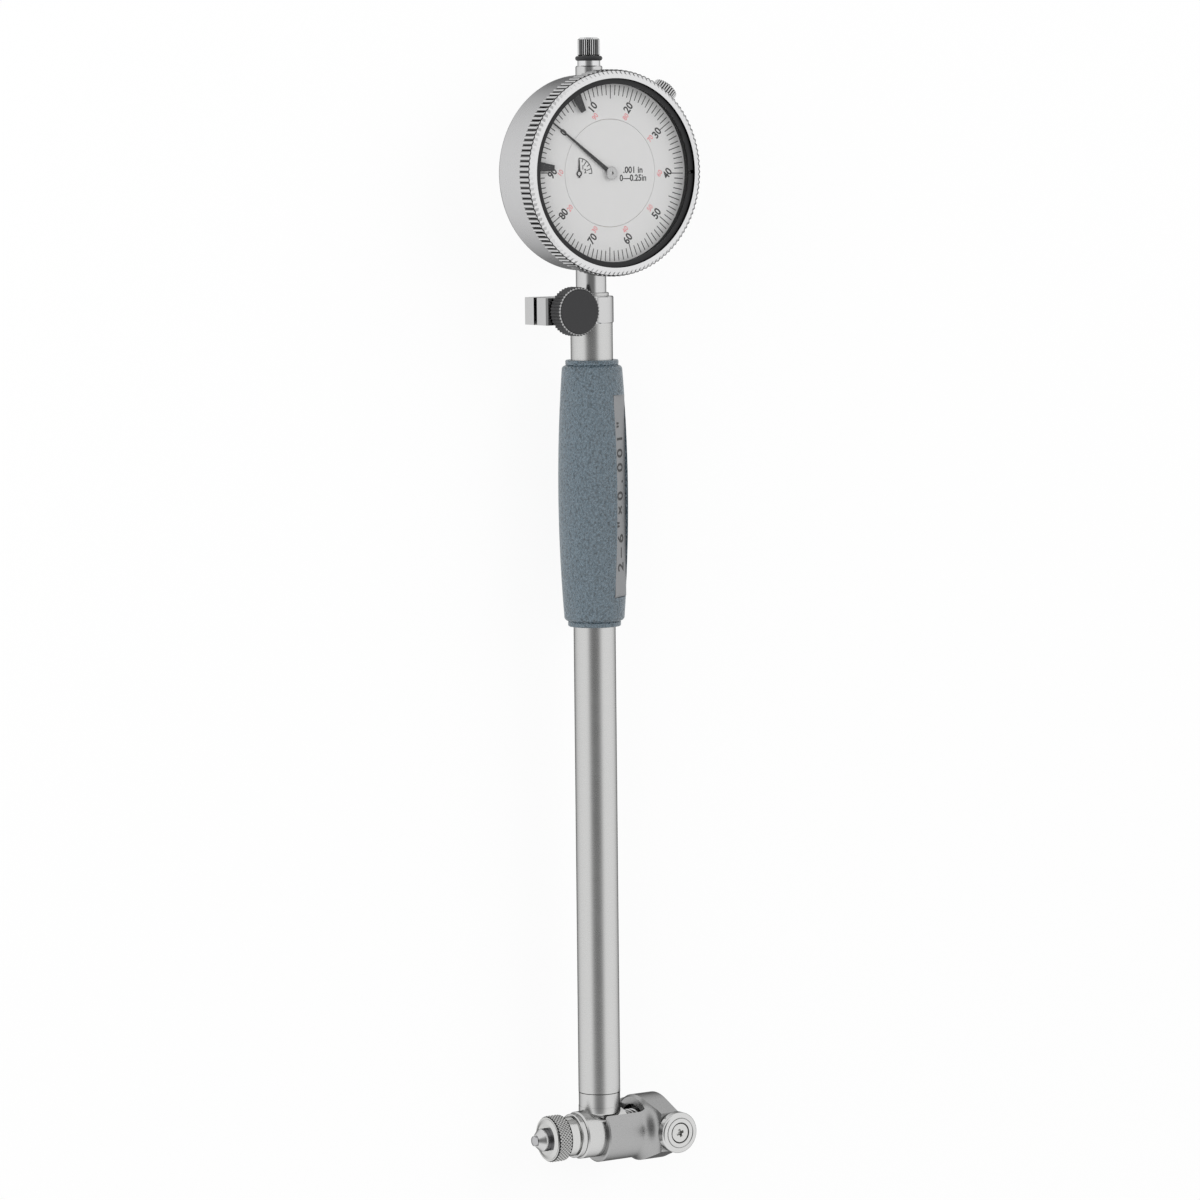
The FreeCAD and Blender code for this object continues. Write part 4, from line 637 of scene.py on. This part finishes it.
def bar(shape, place, wide, tall, thick=PRINT_THICK):
    """A printed line: a thin slab that stands on its place."""
    verts = bmesh.ops.create_cube(shape, size=1.0)["verts"]
    bmesh.ops.transform(shape, matrix=place @ Matrix.Diagonal((wide, tall, 2 * thick, 1.0)), verts=verts)


def clock_place(angle, radius, upright=False):
    """A place on the dial so many degrees clockwise from its zero, turned outwards or upright."""
    out = Matrix.Rotation(math.radians(-angle), 4, "Z") @ Matrix.Translation((0.0, radius, 0.0))
    return out @ Matrix.Rotation(math.radians(angle), 4, "Z") if upright else out


ticks = bmesh.new()
for division in range(DIVISIONS):
    length = TICK_LONG if division % 5 == 0 else TICK_SHORT
    bar(ticks, clock_place(division * DIVISION, TICK_OUTER - length / 2), TICK_WIDE, length)
keep_piece("dial_ticks", ticks, black_print, "bezel", print_lie)

numerals, back_numerals = bmesh.new(), bmesh.new()
for count in range(0, DIVISIONS, 10):
    lettering(numerals, str(count), NUMERAL_TALL, clock_place(count * DIVISION, NUMERAL_R, True),
              PRINT_NARROW, PRINT_THICK, NUMERAL_BOLD)
    if count:
        lettering(back_numerals, str(DIVISIONS - count), RED_TALL,
                  clock_place(count * DIVISION, RED_R, True), PRINT_NARROW, PRINT_THICK)
keep_piece("dial_numerals", numerals, black_print, "bezel", print_lie)
keep_piece("back_numerals", back_numerals, red_print, "bezel", print_lie)

# The middle disc carries the value of a division, the travel, and the turn counter's scale.
COUNTER_R, COUNTER_SHORT, COUNTER_LONG, COUNTER_STEP, COUNTER_SPAN = 4.3, 1.0, 1.6, 18.0, 90.0
COUNTER_DIGIT, COUNTER_DIGIT_R, ARC_BARS, ARC_LAP = 1.15, 2.2, 18, 1.04
WORD_TALL, WORD_AT = 1.75, 7.7
hub_low, hub_high = [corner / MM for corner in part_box("counter_pointer")]
counter_place = Matrix.Translation(((hub_low.x + hub_high.x) / 2, dial_middle.y, dial_middle.z))
middle_print = bmesh.new()
for words, wide, down in ((".001 in", 0.98, 0.85), ("0—0.25in", 0.92, -1.4)):
    lettering(middle_print, words, WORD_TALL, dial_place @ Matrix.Translation((WORD_AT, down, 0.0)),
              wide, PRINT_THICK, WORD_BOLD)
for step in range(6):
    length = COUNTER_SHORT if step % 2 else COUNTER_LONG
    bar(middle_print, counter_place @ clock_place(step * COUNTER_STEP, COUNTER_R - length / 2),
        TICK_WIDE, length)
for turns in (1, 2):
    lettering(middle_print, str(turns), COUNTER_DIGIT,
              counter_place @ clock_place(turns * 2 * COUNTER_STEP, COUNTER_DIGIT_R, True),
              0.9, PRINT_THICK, WORD_BOLD)
arc_step = COUNTER_SPAN / ARC_BARS
for arc_bar in range(ARC_BARS):
    bar(middle_print, counter_place @ clock_place((arc_bar + 0.5) * arc_step, COUNTER_R),
        COUNTER_R * math.radians(arc_step * ARC_LAP), TICK_WIDE)
keep_piece("middle_print", middle_print, black_print, "frame")

# ------------------------------------------------------------ hands
# Pressed steel hands painted black; the main hand sits on a polished cap with a dark pin end.
hand_paint = Finish("hand_paint", (0.012, 0.012, 0.013), 0.40, Specular_IOR_Level=0.3)
hand_paint.grain(2000.0, 0.15, 0.34, 0.000004)
on_nodes(hand_paint, "main_pointer", "counter_pointer", "limit_hand_upper", "limit_hand_left")
PIN_R, PIN_DARK, CAP_GREY = 0.35, (0.03, 0.03, 0.03), (0.50, 0.50, 0.50)
cap_steel = Finish("cap_steel", CAP_GREY, 0.28, 1.0)
beyond_pin = cap_steel.from_axis(dial_middle) > PIN_R * MM
cap_steel.set(Base_Color=cap_steel.mix(beyond_pin, PIN_DARK, CAP_GREY))
cap_steel.grain(1800.0, 0.1, 0.24)
on_nodes(cap_steel, "pointer_cap")

# ------------------------------------------------------------ bezel and crystal
# The bezel is bright aluminium with a straight knurl.  A black snap ring holds the clear crystal.
BEZEL_R, BEZEL_KNURL, BEZEL_WELL_R = 29.0, 0.4, 26.5
bezel_bright = knurled_metal("bezel_bright", (0.74, 0.74, 0.745), 0.19, dial_middle, "Z", 0.0,
                             BEZEL_R, BEZEL_KNURL, BEZEL_WELL_R)
on_nodes(bezel_bright, "bezel")
ring_black = Finish("ring_black", (0.018, 0.018, 0.019), 0.42, Specular_IOR_Level=0.3)
ring_black.grain(2200.0, 0.2, 0.34, 0.00001)
on_nodes(ring_black, "crystal_retainer")
# The crystal mirrors little from the front and more on the slant, alike on both its faces.
GLOSS_FACING, GLOSS_RISE = 0.02, 0.6
crystal_clear = Finish("crystal_clear", (0.97, 0.98, 0.98), 0.05, 0.0)
see_through = crystal_clear.node("ShaderNodeBsdfTransparent", {}, {"Color": (0.99, 0.99, 0.99)})
slant = crystal_clear.node("ShaderNodeLayerWeight", {}, {"Blend": 0.5}, "Facing")
gloss = slant.math("POWER", slant, 5.0) * GLOSS_RISE + GLOSS_FACING
crystal_clear.grain(300.0, 0.04, 0.03)
crystal_clear.feed(
    crystal_clear.tree.nodes["Material Output"].inputs["Surface"],
    crystal_clear.node("ShaderNodeMixShader", {}, {
        0: gloss, 1: see_through, 2: Term(crystal_clear, crystal_clear.shader.outputs[0])}))
on_nodes(crystal_clear, "crystal")

# ------------------------------------------------------------ lifting cap
# The cap on the spindle's upper end is bright and knurled, with a black ring below it.
CAP_R, CAP_KNURL = 3.2, 0.3
cap_bright = knurled_metal("cap_bright", (0.74, 0.74, 0.745), 0.18, (0.0, 0.0, 0.0), "Y", 0.0,
                           CAP_R, CAP_KNURL)
on_nodes(cap_bright, "lifting_cap")
ring_rubber = Finish("ring_rubber", (0.02, 0.02, 0.021), 0.6)
ring_rubber.grain(2600.0, 0.2, 0.5, 0.00001)
on_nodes(ring_rubber, "cap_ring")
